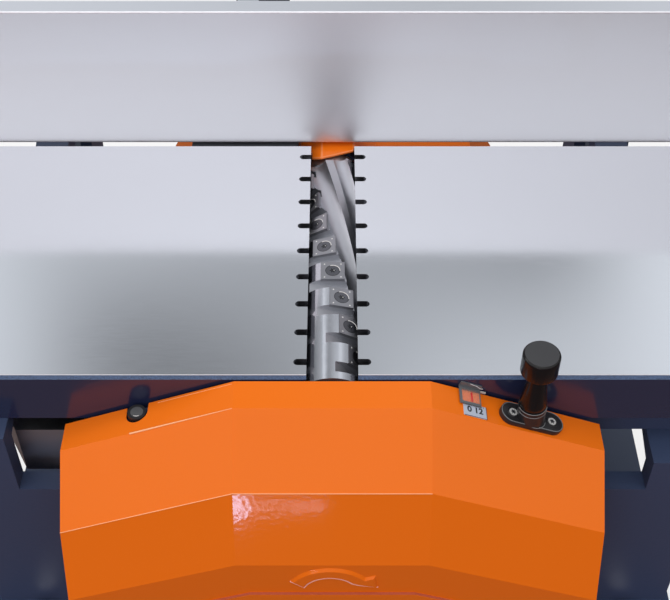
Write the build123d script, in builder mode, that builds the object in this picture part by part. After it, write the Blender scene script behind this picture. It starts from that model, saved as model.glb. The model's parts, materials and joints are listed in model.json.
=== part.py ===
from build123d import *
from math import ceil, cos, floor, radians, sin, tan
import os

# Planer thicknesser: two surface tables over a spiral cutterblock, with a thicknessing table below.
# X is the feed line (infeed table at +X), -Y is the operator's side, Z is up, sizes in millimetres.
# The origin is on the floor, in the middle of the anchor bolts, under the cutterblock.

# Surface tables
TABLE_Z = 870.0  # height of the planing surface
TABLE_WIDTH = 310.0
TABLE_REACH = 700.0  # cutterblock axis to the outer end of a table
THROAT = 44.3  # gap between the two lips
PLATE = 12.0
SKIRT_WALL = 10.0
SKIRT_DEPTH = 55.0
LIP_DEPTH = 20.0  # the skirt is shallow where it passes over the feed rollers
LIP_REACH = 120.0  # where the shallow skirt ends
SKIRT_FALL = 70.0  # length of the slope from shallow to full skirt
END_DEPTH = 25.0
END_TAPER = 60.0
RIM_CHAMFER = 3.0
RIB = 8.0
RIB_X = 300.0  # first cross rib
RIB_PITCH = 150.0
RIBS = 3
NOTCH_COUNT = 9
NOTCH_WIDTH = 7.0
NOTCH_LENGTH = 11.2

# Cutterblock
CUT_RADIUS = 36.0
LAND_RADIUS = 35.0
GULLET_RADIUS = 26.0  # bottom of the gullet ahead of each edge
CREST_RADIUS = 31.0  # flat back between the gullet and a shallow dip
RIDGE_RADIUS = 30.0
DIP_RADIUS = 28.8
LIP_CLEARANCE = 2.0  # cutting circle to the relieved lip
GULLET_ANGLE = 18.5  # degrees ahead of the cutting edge, here and in the next four
CREST_ANGLE = 35.0
RIDGE_ANGLE = 50.0
DIP_ANGLE = 61.0
HEEL_ANGLE = 73.0
TWIST = 0.409  # degrees per millimetre
TWIST_START = 20.0  # where the first row's edge points straight up
INSERT_START = -24.4  # middle of insert number 0 in the first row
INSERT_PITCH = 33.5
ROWS = 2
INSERT_MARGIN = 2.0  # least distance from an insert to an end of the block
INSERT_WIDTH = 22.0  # round the block
INSERT_LENGTH = 22.0  # along the block
INSERT_THICKNESS = 3.2
INSERT_LEAN = 18.6  # degrees from an insert's middle line to its cutting edge
SEAT_GAP = 0.1
GROOVE_RADIUS = 25.4  # axis out to the flat grooves between the inserts
GROOVE_LEAD = 2.0  # the grooves reach this far past the cutting edge
INSERT_HEAD = 13.5
INSERT_SHANK = 7.0
SHANK_LENGTH = 8.0
BLOCK_SHORT = 14.5  # table edge in to the rear end of the block
END_RADIUS = 27.5  # plain end of the block under the cap's nose
END_LENGTH = 14.0
SHOULDER_RADIUS = 15.0
SHOULDER_GAP = 1.0
JOURNAL_RADIUS = 10.0
BEARING_OD = 47.0
BEARING_WIDTH = 14.0
BEARING_CHAMFER = 0.8
RUNNING_FIT = 0.05  # radial clearance of every shaft in its bore

# Base cabinet
CAB_X = 350.0  # half length
CAB_MARGIN = 22.0  # frame foot to the cabinet's front and back
HEAD_HEIGHT = 340.0  # cabinet top up to the planing surface
CAB_CORNER = 20.0
SHEET = 3.0
FLOOR_FLANGE = 80.0
FLANGE_T = 6.0
ANCHOR_X = 560.0
ANCHOR_Y = 360.0
ANCHOR_HOLE = 14.0
PANEL_W = 300.0
PANEL_H = 340.0
PANEL_T = 2.0
PANEL_LAP = 20.0
LOUVRES = 5
LOUVRE_LENGTH = 180.0
LOUVRE_HEIGHT = 8.0
LOUVRE_PITCH = 26.0

# Side frames
SIDE_GAP = 3.0  # table edge to frame
FRAME_T = 20.0
FOOT_X = 340.0
FOOT_W = 90.0
FOOT_DEPTH = 40.0
FOOT_T = 15.0
FOOT_BOLT = 12.0
FOOT_BOLT_H = 7.0
SHOULDER_DROP = 130.0  # planing surface down to the frame's shoulders
FRAME_SHORT = 7.0  # cover's side in to the front frame
FRAME_INSET = 8.0  # rear cover's outline in to the frame

# Front cover: a faceted moulding, flat in the middle and falling to both sides
COVER_WALL = 3.0
COVER_DROP = 2.0  # planing surface down to the top of the cover
COVER_GAP = 2.6  # table edge to cover
COVER_X = 235.0
BEND = 83.0  # half width of the flat middle
SIDE_SLOPE = 21.0  # degrees
LEDGE = 29.3
BROW_OUT = 51.1
BROW_FALL = 49.0
CHEEK_OUT = 25.0
CHEEK_FALL = 70.0
TOE_RISE = 110.0  # cabinet top up to the turned-in toe
TOE_IN = 18.0
BAND_DROP = 165.0  # planing surface down to the raised band low on the cover
BAND_HALF = 72.7
BAND_PROUD = 2.5
BAND_CLEAR = 2.0  # toe up to the band
FRAME_CLEAR = 2.0  # cover wall to frame

# Rear cover and the cap over the rear bearing
REAR_DROP = 24.0
REAR_HALF = 145.0
REAR_SIDE = 178.0
REAR_FALL = 56.0
REAR_LEG = 70.0  # cabinet top up to the cover
REAR_DEPTH = 104.4
REAR_ROUND = 6.0
CAP_DROP = 4.0
CAP_DEPTH = 45.0  # table edge to the back of the cap
CAP_LEFT = -34.0
CAP_RIGHT = 46.0
CAP_LEFT_FALL = 14.0
CAP_GAP = 0.5  # cap to table
NOSE_X = -11.3  # crease that ends in the tip of the cap's nose
NOSE_TIP = 13.3  # table edge forward to the tip, and to the nose's two ends
NOSE_LEFT = 5.9
NOSE_RIGHT = 1.2
BOSS_RADIUS = 28.0

# Drive
BELT_OUT = 8.0  # frame to the middle of the belt
BELT_WIDTH = 9.0
BELT_T = 4.0
BELT_GAP = 0.3
CUTTER_PULLEY = 18.0
MOTOR_PULLEY = 36.0
PULLEY_RIM = 2.0
PULLEY_WIDTH = 14.0
MOTOR_X = 190.0
MOTOR_DROP = 230.0  # cabinet top down to the motor's axis
MOTOR_RADIUS = 72.0
MOTOR_BACK = 36.0  # middle of the belt to the motor
MOTOR_LENGTH = 240.0
MOTOR_COWL = 60.0
MOTOR_BELL = 24.0
MOTOR_FINS = 24
FIN = 5.0
MOTOR_SHAFT = 14.0
SHELF_W = 190.0
SHELF_DROP = 78.0  # motor's axis down to its shelf
SHELF_DEPTH = 20.0

# Feed
ROLL_X = 75.0
ROLL_RADIUS = 20.0
ROLL_BELOW = 1.0  # rollers reach below the cutting circle
ROLL_GAP = 8.0  # roller end to frame
ROLL_FLUTES = 24
FLUTE_SIDE = 3.6
BLOCK_W = 36.0
BLOCK_H = 26.0
BLOCK_FIT = 0.2
ROLL_FLOAT = 4.0
SPROCKET_RADIUS = 15.0
SPROCKET_TEETH = 12
SPROCKET_T = 5.0
TOOTH_LENGTH = 4.0
TOOTH_WIDTH = 3.0
LEFT_CHAIN_OUT = 16.0  # frame to each chain
RIGHT_CHAIN_OUT = 26.0
CHAIN_T = 4.0
CHAIN_GAP = 0.6
FEED_DRIVE_DROP = 94.0  # cutterblock axis down to the drive sprocket
FEED_SHAFT = 8.0
GEARBOX_OUT = 34.0  # frame to gearbox
GEARBOX_DEPTH = 40.0
GEARBOX_TOP = 50.0
FEED_POST = 5.0
FINGER_X = -140.0
FINGER_DROP = 10.0  # cutterblock axis down to the fingers' shaft
FINGER_SHAFT = 6.0
FINGER_HUB = 9.0
FINGER_TIP = 2.5
FINGER_TRAIL = 11.0
FINGER_BELOW = 3.0
FINGER_T = 9.0
FINGER_PITCH = 16.0
FINGERS = 17

# Chip chute
CHUTE_TOP_GAP = 9.0  # cutting circle down to the chute
CHUTE_HEIGHT = 59.0
CHUTE_SIDE = 10.0  # chute to frame
CHUTE_HEAD = 60.0
CHUTE_END = 285.0
CHUTE_NECK = 60.0
PORT_RADIUS = 50.0
PORT_LENGTH = 55.0
CHUTE_WALL = 2.5
MOUTH_HALF = 42.0
RAIL_W = 6.0
RAIL_DROP = 54.0  # cutting circle down to the rails
RAIL_H = 8.0
FLANGE_CLEAR = 1.5  # chute's flange to frame
RAIL_CLEAR = 0.2

# Thicknessing table and lift
THICK_OPEN = 225.0  # cutting circle down to the lowered table
THICK_HALF_X = 275.0
THICK_SIDE = 8.0  # thicknessing table to frame
THICK_PLATE = 18.0
THICK_DEPTH = 38.0
THICK_WALL = 12.0
THICK_LEAD = 6.0
THICK_BOSS = 60.0
COLUMN_RADIUS = 46.0
COLUMN_BORE = 35.0
COLUMN_CLEAR = 8.0  # lowered column to the gearbox
NUT_LENGTH = 40.0
GUIDE_RADIUS = 55.0
GUIDE_LENGTH = 240.0
GUIDE_FLANGE = 80.0
GUIDE_FLANGE_T = 10.0
GUIDE_PROUD = 2.0
GUIDE_FIT = 0.1
SCREW_RADIUS = 15.0
SCREW_SHORT = 30.0  # top of the screw below the lowered table
SCREW_JOURNAL = 12.0
SCREW_SEAT = 34.0
LIFTBOX = 110.0
LIFTBOX_H = 80.0
WHEEL_DROP = 54.0  # column guide down to the handwheel's shaft
WHEEL_OUT = 35.0
WHEEL_RADIUS = 95.0
WHEEL_RIM = 9.0
WHEEL_HUB = 22.0
HUB_LENGTH = 30.0
SPOKE = 12.0
SPOKES = 3
WHEEL_SHAFT = 9.0
CRANK_RADIUS = 13.0
CRANK_LENGTH = 60.0
CRANK_PIN = 5.0
CRANK_FOOT = 9.0
CRANK_GAP = 1.0

# Table hinges, carrier and rests
HINGE_BACK = 130.0  # table edge to hinge
HINGE_DROP = 30.0
HINGE_PIN = 8.0
ARM_X = 285.0  # inner side of a hinge arm
ARM_W = 35.0
ARM_EYE = 18.0
EAR_EYE = 20.0
EAR_T = 12.5
EAR_GAP = 0.5
SLAB_T = 25.0
PIN_PROUD = 4.0
ARM_PAD = 18.0
ARM_STEP = 5.0  # table edge to the root of an arm
ARM_ROOT = 4.0
REST_TONGUE = 19.8
REST_GAP = 0.2
CARRIER_IN = 205.0
CARRIER_OUT = 420.0
CARRIER_INSET = 15.0
CARRIER_DROP = 90.0
CARRIER_T = 18.0
WAY_LENGTH = 60.0
WAY_MARGIN = 10.0
WAY_IN = 60.0
WAY_OUT = 120.0
WAY_DROP = 38.0
WAY_GAP = 0.1

# Fence
FENCE_LEFT = -600.0
FENCE_RIGHT = 500.0
FENCE_GAP = 4.5  # table edge to the fence's face
FENCE_LIFT = 1.0
FENCE_H = 155.0
FENCE_T = 20.0
FENCE_WALL = 3.0
FENCE_EDGE = 1.8
FENCE_CAP = 3.0
FENCE_SLOT = 8.0
TILT_BACK = 14.0
TILT_RISE = 20.0
TILT_EYE = 10.0
TILT_PIN = 5.0
BAR_X = -94.0
BAR_W = 30.0
BAR_H = 30.0
BAR_RISE = 10.0
BAR_REACH = 238.0
BAR_FIT = 0.2
LUG_HALF = 22.0
EAR_W = 14.0
HEAD_DEPTH = 34.0
BRACKET_LEFT = -145.0
BRACKET_RIGHT = -36.0
BRACKET_T = 17.0
BRACKET_DROP = 3.0
GUIDE_GAP = 2.0
GUIDE_DEPTH = 46.0
GUIDE_WALL = 8.0
TOWER_LEFT = -70.0
TOWER_RIGHT = -41.0
TOWER_DEPTH = 12.0
TOWER_GAP = 2.0
BACKPLATE_T = 4.0
LEVER_LENGTH = 75.0
LEVER_HUB = 10.0
LEVER_BALL = 9.0
LEVER_RISE = 12.0
STAR_LOBES = 5
STAR_T = 16.0
STAR_CORE = 9.75
STAR_LOBE = 3.25
STAR_GAP = 1.0

# Controls on the front cover
KNOB_X = 169.0
KNOB_OUT = 18.4  # table edge to the knob's axis
KNOB_BASE = 11.5
KNOB_FOOT = 4.0
KNOB_NECK = 7.0
KNOB_UNDER = 3.0
KNOB_CAP = 15.6
KNOB_CAP_H = 21.0
KNOB_EDGE = 1.5
KNOB_H = 63.0
KNOB_SHAFT = 5.0
FLANGE_LENGTH = 59.0
FLANGE_WIDTH = 21.5
FLANGE_THICK = 5.0
COLLAR_RADIUS = 10.5
COLLAR_RISE = 22.8  # ledge up to the top of the collar
STOP_X = -168.0
STOP_OUT = 11.0
STOP_SLEEVE = 8.0
STOP_HEAD = 5.5
STOP_HEAD_H = 4.4
STOP_WINDOW = 9.6
POINTER_X = 116.0
POINTER_W = 19.5
POINTER_REACH = 19.2
POINTER_T = 1.2
POINTER_RISE = 6.0
POINTER_CLEAR = 1.3
POINTER_BAR = 2.2
POINTER_TIP = 2.4
WINDOW_W = 16.7
WINDOW_D = 13.2
SCALE_X = 120.0
SCALE_OUT = 23.7
SCALE_W = 21.3
SCALE_D = 13.0
SCALE_T = 0.6
SCALE_CORNER = 1.0

# Switch and supply
SWITCH_X = 230.0
SWITCH_DROP = 90.0  # cabinet top down to the middle of the switch
SWITCH_W = 74.0
SWITCH_H = 116.0
SWITCH_D = 36.0
BUTTON_PITCH = 46.0
BUTTON_RADIUS = 11.0
BUTTON_FIT = 0.3
BUTTON_DEPTH = 14.0
BUTTON_PROUD = 6.0
STOP_CAP = 17.0
BUTTON_ROUND = 1.0
STOP_ROUND = 2.0
GLAND_X = -250.0
GLAND_Z = 90.0
GLAND_HEX = 14.0
GLAND_LENGTH = 26.0
GLAND_NUT = 11.9
GLAND_TAPER = 8.0

# Places worked out from the sizes above
AXIS_Z = TABLE_Z - CUT_RADIUS
CUT_Z = AXIS_Z - CUT_RADIUS
CAB_TOP = TABLE_Z - HEAD_HEIGHT
SHOULDER_Z = TABLE_Z - SHOULDER_DROP
HALF_W = TABLE_WIDTH / 2
LIP = THROAT / 2
NOTCH_PITCH = TABLE_WIDTH / NOTCH_COUNT
FRAME_IN = HALF_W + SIDE_GAP
FRAME_OUT = FRAME_IN + FRAME_T
CAB_Y = FRAME_OUT + FOOT_DEPTH + CAB_MARGIN
SLOPE = tan(radians(SIDE_SLOPE))
DOWNHILL = (cos(radians(SIDE_SLOPE)), 0, -sin(radians(SIDE_SLOPE)))
COVER_TOP = TABLE_Z - COVER_DROP
COVER_BACK = HALF_W + COVER_GAP
FRAME_X = COVER_X - FRAME_SHORT
FRONT_TOP = COVER_TOP - COVER_WALL - FRAME_CLEAR
TOE_Z = CAB_TOP + TOE_RISE
REAR_TOP = TABLE_Z - REAR_DROP
REAR_BOTTOM = CAB_TOP + REAR_LEG
CAP_BACK = HALF_W + CAP_DEPTH
REAR_FRAME_TOP = REAR_TOP - COVER_WALL - FRAME_CLEAR
BELT_Y = -FRAME_OUT - BELT_OUT
MOTOR_Z = CAB_TOP - MOTOR_DROP
MOTOR_FRONT = BELT_Y + MOTOR_BACK
SHELF_Z = MOTOR_Z - SHELF_DROP
ROLL_Z = CUT_Z - ROLL_BELOW + ROLL_RADIUS
ROLL_HALF = FRAME_IN - ROLL_GAP
LEFT_CHAIN_Y = FRAME_OUT + LEFT_CHAIN_OUT
RIGHT_CHAIN_Y = FRAME_OUT + RIGHT_CHAIN_OUT
FEED_DRIVE_Z = AXIS_Z - FEED_DRIVE_DROP
GEARBOX_FRONT = FRAME_OUT + GEARBOX_OUT
FINGER_Z = AXIS_Z - FINGER_DROP
CHUTE_HALF = FRAME_IN - CHUTE_SIDE
RAIL_IN = FRAME_IN - RAIL_W
RAIL_FLANGE = FRAME_IN - FLANGE_CLEAR
THICK_HALF_Y = FRAME_IN - THICK_SIDE
THICK_Z = CUT_Z - THICK_OPEN
THICK_BOTTOM = THICK_Z - THICK_DEPTH
CHUTE_TOP = CUT_Z - CHUTE_TOP_GAP
CHUTE_MID = CHUTE_TOP - CHUTE_HEIGHT / 2
RAIL_TOP = CUT_Z - RAIL_DROP
GUIDE_TOP = CAB_TOP + GUIDE_PROUD
GUIDE_BOTTOM = GUIDE_TOP - GUIDE_LENGTH
COLUMN_BOTTOM = GUIDE_BOTTOM + COLUMN_CLEAR
COLUMN_LENGTH = THICK_BOTTOM - COLUMN_BOTTOM
SCREW_TOP = THICK_BOTTOM - SCREW_SHORT
WHEEL_Z = GUIDE_BOTTOM - WHEEL_DROP
WHEEL_Y = -CAB_Y - WHEEL_OUT
SKIRT_BOTTOM = TABLE_Z - SKIRT_DEPTH
HINGE_Y = HALF_W + HINGE_BACK
HINGE_Z = TABLE_Z - HINGE_DROP
CARRIER_FRONT = CARRIER_INSET - HALF_W
CARRIER_Z = TABLE_Z - CARRIER_DROP
WAY_STARTS = (CARRIER_IN + WAY_MARGIN, CARRIER_OUT - WAY_MARGIN - WAY_LENGTH)
WAY_TOP = TABLE_Z - WAY_DROP
BLOCK_FRONT = -HALF_W
BLOCK_REAR = HALF_W - BLOCK_SHORT
FENCE_FACE = HALF_W + FENCE_GAP
FENCE_BOTTOM = TABLE_Z + FENCE_LIFT
FENCE_BACK = FENCE_FACE + FENCE_T
TILT_Y = FENCE_BACK + TILT_BACK
TILT_Z = TABLE_Z + TILT_RISE
HEAD_BACK = FENCE_BACK + HEAD_DEPTH
GUIDE_FRONT = HEAD_BACK + GUIDE_GAP
GUIDE_BACK = GUIDE_FRONT + GUIDE_DEPTH
LEVER_Y = (GUIDE_FRONT + GUIDE_BACK) / 2
BAR_Z = TABLE_Z + BAR_RISE
BAR_END = GUIDE_BACK + BAR_REACH
ARM_OUT = ARM_X + ARM_W
KNOB_Y = -HALF_W - KNOB_OUT
STOP_Y = -HALF_W - STOP_OUT
SCALE_Y = -HALF_W - SCALE_OUT
SWITCH_Z = CAB_TOP - SWITCH_DROP


def across(y):
    """Plane facing the operator at a given Y: X to the right, Z up, extrusions run to -Y."""
    return Plane.XZ.offset(-y)


def along(x):
    """Plane facing +X at a given X: Y to the right, Z up, extrusions run to +X."""
    return Plane.YZ.offset(x)


def level(z):
    """Plane facing up at a given height."""
    return Plane.XY.offset(z)


def ledge_z(x):
    """Height of the front cover's ledge at a given X."""
    return COVER_TOP - max(0.0, abs(x) - BEND) * SLOPE


def on_ledge(x, y, lift=0.0):
    """Plane lying on the falling right-hand side of the ledge, its X pointing downhill."""
    up = (sin(radians(SIDE_SLOPE)), 0, cos(radians(SIDE_SLOPE)))
    return Plane(origin=(x, y, ledge_z(x)), x_dir=DOWNHILL, z_dir=up).offset(lift)


def finish(piece, name):
    """Label a finished piece and write it."""
    piece.part.label = name
    export_step(piece.part, f"parts/{name}.step")


os.makedirs("parts", exist_ok=True)


# Base cabinet: folded sheet, open below, with a floor flange and a welded motor shelf
with BuildPart() as base_cabinet:
    with BuildSketch():
        RectangleRounded(2 * CAB_X, 2 * CAB_Y, CAB_CORNER)
    extrude(amount=CAB_TOP)
    offset(amount=-SHEET, openings=faces().sort_by(Axis.Z)[0])
    with BuildSketch():
        RectangleRounded(2 * CAB_X, 2 * CAB_Y, CAB_CORNER)
        Rectangle(2 * (CAB_X - FLOOR_FLANGE), 2 * (CAB_Y - FLOOR_FLANGE), mode=Mode.SUBTRACT)
        with GridLocations(ANCHOR_X, ANCHOR_Y, 2, 2):
            Circle(ANCHOR_HOLE / 2, mode=Mode.SUBTRACT)
    extrude(amount=FLANGE_T)
    with BuildSketch(across(CAB_Y - SHEET)):
        with Locations((MOTOR_X, SHELF_Z - SHELF_DEPTH / 2)):
            Rectangle(SHELF_W, SHELF_DEPTH)
        with Locations((MOTOR_X, SHELF_Z - SHELF_DEPTH / 2 - SHEET)):
            Rectangle(SHELF_W - 2 * SHEET, SHELF_DEPTH, mode=Mode.SUBTRACT)
    extrude(amount=2 * (CAB_Y - SHEET))
    # the column guide and the belt pass through the top
    belt_fall = (AXIS_Z - CAB_TOP) / (AXIS_Z - MOTOR_Z)
    with BuildSketch(level(CAB_TOP)):
        Circle(GUIDE_RADIUS)
        with Locations((MOTOR_X * belt_fall, BELT_Y)):
            Rectangle(2 * MOTOR_PULLEY + 4 * BELT_T, PULLEY_WIDTH + 2 * BELT_T)
    extrude(amount=-SHEET, mode=Mode.SUBTRACT)
    with BuildSketch(across(-CAB_Y)):
        with Locations((0, WHEEL_Z)):
            Circle(WHEEL_SHAFT + RUNNING_FIT)
    extrude(amount=-SHEET, mode=Mode.SUBTRACT)
    with BuildSketch(along(CAB_X)):
        with Locations((0, CAB_TOP / 2)):
            RectangleRounded(PANEL_W - 2 * PANEL_LAP, PANEL_H - 2 * PANEL_LAP, CAB_CORNER / 2)
    extrude(amount=-SHEET, mode=Mode.SUBTRACT)
finish(base_cabinet, "base_cabinet")

with BuildPart() as service_panel:
    with BuildSketch(along(CAB_X)):
        with Locations((0, CAB_TOP / 2)):
            RectangleRounded(PANEL_W, PANEL_H, CAB_CORNER / 2)
            with GridLocations(0, LOUVRE_PITCH, 1, LOUVRES):
                SlotOverall(LOUVRE_LENGTH, LOUVRE_HEIGHT, mode=Mode.SUBTRACT)
    extrude(amount=PANEL_T)
finish(service_panel, "service_panel")


# Side frames: heavy plates on the cabinet that carry the cutterblock, the rollers and the table hinges
BLOCK_SLOT_H = BLOCK_H + ROLL_FLOAT + 2 * BLOCK_FIT
BLOCK_SLOT_Z = ROLL_Z + ROLL_FLOAT / 2


def cut_frame_openings():
    """Cuts the bearing bore, the two block slots and the finger shaft's hole in a frame's sketch."""
    with Locations((0, AXIS_Z)):
        Circle(BEARING_OD / 2, mode=Mode.SUBTRACT)
    with Locations((-ROLL_X, BLOCK_SLOT_Z), (ROLL_X, BLOCK_SLOT_Z)):
        Rectangle(BLOCK_W + 2 * BLOCK_FIT, BLOCK_SLOT_H, mode=Mode.SUBTRACT)
    with Locations((FINGER_X, FINGER_Z)):
        Circle(FINGER_SHAFT, mode=Mode.SUBTRACT)


FOOT_MID = FOOT_X - FOOT_W / 2
FOOT_Y = FRAME_OUT + FOOT_DEPTH / 2

with BuildPart() as front_frame:
    with BuildSketch(across(-FRAME_IN)):
        with BuildLine():
            Polyline(
                (FOOT_X, CAB_TOP),
                (FOOT_X, SHOULDER_Z),
                (FRAME_X, SHOULDER_Z),
                (FRAME_X, FRONT_TOP - (FRAME_X - BEND) * SLOPE),
                (BEND, FRONT_TOP),
                (0, FRONT_TOP),
                (0, CAB_TOP),
                close=True,
            )
        make_face()
        mirror(about=Plane.YZ)
        cut_frame_openings()
    extrude(amount=FRAME_T)
    with BuildSketch(level(CAB_TOP)):
        with Locations((-FOOT_MID, -FOOT_Y), (FOOT_MID, -FOOT_Y)):
            Rectangle(FOOT_W, FOOT_DEPTH)
    extrude(amount=FOOT_T)
finish(front_frame, "front_frame")

with BuildPart() as rear_frame:
    with BuildSketch(across(FRAME_OUT)):
        with BuildLine():
            Polyline(
                (FOOT_X, CAB_TOP),
                (FOOT_X, SHOULDER_Z),
                (REAR_SIDE - FRAME_INSET, SHOULDER_Z),
                (REAR_SIDE - FRAME_INSET, REAR_TOP - REAR_FALL),
                (REAR_HALF - FRAME_INSET, REAR_FRAME_TOP),
                (0, REAR_FRAME_TOP),
                (0, CAB_TOP),
                close=True,
            )
        make_face()
        mirror(about=Plane.YZ)
        with Locations((0, AXIS_Z)):
            Circle(BOSS_RADIUS)
        cut_frame_openings()
    extrude(amount=FRAME_T)
    with BuildSketch(level(CAB_TOP)):
        with Locations((-FOOT_MID, FOOT_Y), (FOOT_MID, FOOT_Y)):
            Rectangle(FOOT_W, FOOT_DEPTH)
    extrude(amount=FOOT_T)
finish(rear_frame, "rear_frame")

with BuildPart() as frame_bolts:
    with BuildSketch(level(CAB_TOP + FOOT_T)):
        with GridLocations(2 * FOOT_MID, 2 * FOOT_Y, 2, 2):
            RegularPolygon(FOOT_BOLT, 6)
    extrude(amount=FOOT_BOLT_H)
finish(frame_bolts, "frame_bolts")


# Front cover: one band of wall, run flat across the middle and downhill to both sides
def cover_outline(drop=0.0):
    """Outer outline of the front cover in Y and Z, lowered by a drop."""
    ledge_y = -COVER_BACK - LEDGE
    face_y = ledge_y - BROW_OUT - CHEEK_OUT
    return [
        (-COVER_BACK, COVER_TOP - drop),
        (ledge_y, COVER_TOP - drop),
        (ledge_y - BROW_OUT, COVER_TOP - BROW_FALL - drop),
        (face_y, COVER_TOP - BROW_FALL - CHEEK_FALL - drop),
        (face_y, TOE_Z - drop),
        (face_y + TOE_IN, CAB_TOP - drop),
        (-COVER_BACK, CAB_TOP - drop),
    ]


def cover_band(x):
    """The cover's wall as a section at a given X, open at the back and below."""
    with BuildSketch(along(x)) as band:
        with BuildLine():
            Polyline(*cover_outline(), close=True)
        make_face()
        offset(amount=-COVER_WALL, kind=Kind.INTERSECTION, mode=Mode.SUBTRACT)
        with Locations((-COVER_BACK, COVER_TOP - COVER_WALL)):
            Rectangle(COVER_WALL, COVER_TOP - CAB_TOP, align=(Align.MAX, Align.MAX), mode=Mode.SUBTRACT)
        with Locations((-COVER_BACK, CAB_TOP)):
            foot = LEDGE + BROW_OUT + CHEEK_OUT - TOE_IN - COVER_WALL
            Rectangle(foot, COVER_WALL, align=(Align.MAX, Align.MIN), mode=Mode.SUBTRACT)
    return band.sketch


SIDE_RUN = (COVER_X - BEND) / cos(radians(SIDE_SLOPE))
SIDE_DROP = (COVER_X - BEND) * SLOPE
FACE_Y = -COVER_BACK - LEDGE - BROW_OUT - CHEEK_OUT
BAND_TOP = TABLE_Z - BAND_DROP
BAND_BOTTOM = TOE_Z + BAND_CLEAR
left_band = cover_band(-BEND)
right_band = cover_band(BEND)

with BuildPart() as front_cover:
    extrude(left_band, amount=2 * BEND)
    extrude(left_band, amount=SIDE_RUN, dir=(-DOWNHILL[0], 0, DOWNHILL[2]))
    extrude(right_band, amount=SIDE_RUN, dir=DOWNHILL)
    for wall_x in (-COVER_X, COVER_X - COVER_WALL):
        with BuildSketch(along(wall_x)):
            with BuildLine():
                Polyline(*cover_outline(SIDE_DROP), close=True)
            make_face()
            wall_depth = LEDGE + BROW_OUT + CHEEK_OUT
            with Locations((-FRAME_OUT - COVER_WALL, CAB_TOP)):
                Rectangle(wall_depth, TABLE_Z, align=(Align.MAX, Align.CENTER), mode=Mode.INTERSECT)
        extrude(amount=COVER_WALL)
    split(bisect_by=level(CAB_TOP), keep=Keep.TOP)
    # raised band above the toe, bent like the rest of the cover
    with BuildSketch(across(FACE_Y)):
        with BuildLine():
            Polyline(
                (0, BAND_TOP),
                (BAND_HALF, BAND_TOP),
                (COVER_X, BAND_TOP - (COVER_X - BAND_HALF) * SLOPE),
                (COVER_X, BAND_BOTTOM - SIDE_DROP),
                (BEND, BAND_BOTTOM),
                (0, BAND_BOTTOM),
                close=True,
            )
        make_face()
        mirror(about=Plane.YZ)
    extrude(amount=BAND_PROUD)
    # round window for the stop bolt, open to the back, and the hole for the depth knob's shaft
    with BuildSketch(level(COVER_TOP)):
        with Locations((STOP_X, STOP_Y)):
            Circle(STOP_WINDOW)
            Rectangle(2 * STOP_WINDOW, LEDGE, align=(Align.CENTER, Align.MIN))
        with Locations((KNOB_X, KNOB_Y)):
            Circle(KNOB_SHAFT + FRAME_CLEAR)
    extrude(amount=-LEDGE - SIDE_DROP, mode=Mode.SUBTRACT)
finish(front_cover, "front_cover")


# Rear cover: a box with falling shoulders over the feed drive
def rear_outline(inset):
    """Outline of the rear cover in X and Z, drawn in by an inset."""
    with BuildSketch(across(COVER_BACK)) as outline:
        with BuildLine():
            Polyline(
                (0, REAR_TOP),
                (REAR_HALF, REAR_TOP),
                (REAR_SIDE, REAR_TOP - REAR_FALL),
                (REAR_SIDE, REAR_BOTTOM),
                (0, REAR_BOTTOM),
                close=True,
            )
        make_face()
        mirror(about=Plane.YZ)
        if inset:
            offset(amount=-inset, kind=Kind.INTERSECTION, mode=Mode.REPLACE)
    return outline.sketch


rear_outside = rear_outline(0.0)
rear_inside = rear_outline(COVER_WALL)

with BuildPart() as rear_cover:
    extrude(rear_outside, amount=-REAR_DEPTH)
    fillet(faces().sort_by(Axis.Y)[-1].edges(), REAR_ROUND)
    extrude(rear_inside, amount=COVER_WALL - REAR_DEPTH, mode=Mode.SUBTRACT)
    # the walls stop short of the frame's shoulders, and the bearing boss stands up through the top
    with BuildSketch(level(RAIL_TOP + FRAME_CLEAR)):
        with Locations((0, FRAME_OUT)):
            Rectangle(4 * REAR_SIDE, 4 * FRAME_T, align=(Align.CENTER, Align.MAX))
    extrude(amount=-SHOULDER_Z, mode=Mode.SUBTRACT)
    with BuildSketch(level(REAR_TOP)):
        boss_half = BOSS_RADIUS + FRAME_CLEAR
        with Locations((0, COVER_BACK)):
            Rectangle(2 * boss_half, FRAME_T + 2 * COVER_WALL, align=(Align.CENTER, Align.MIN))
    extrude(amount=-COVER_WALL, mode=Mode.SUBTRACT)
finish(rear_cover, "rear_cover")

CAP_TOP = TABLE_Z - CAP_DROP
NOSE_HALF = LIP - CAP_GAP
NOSE_FALL = CAP_LEFT_FALL * (NOSE_HALF + NOSE_X) / (NOSE_X - CAP_LEFT)

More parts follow.
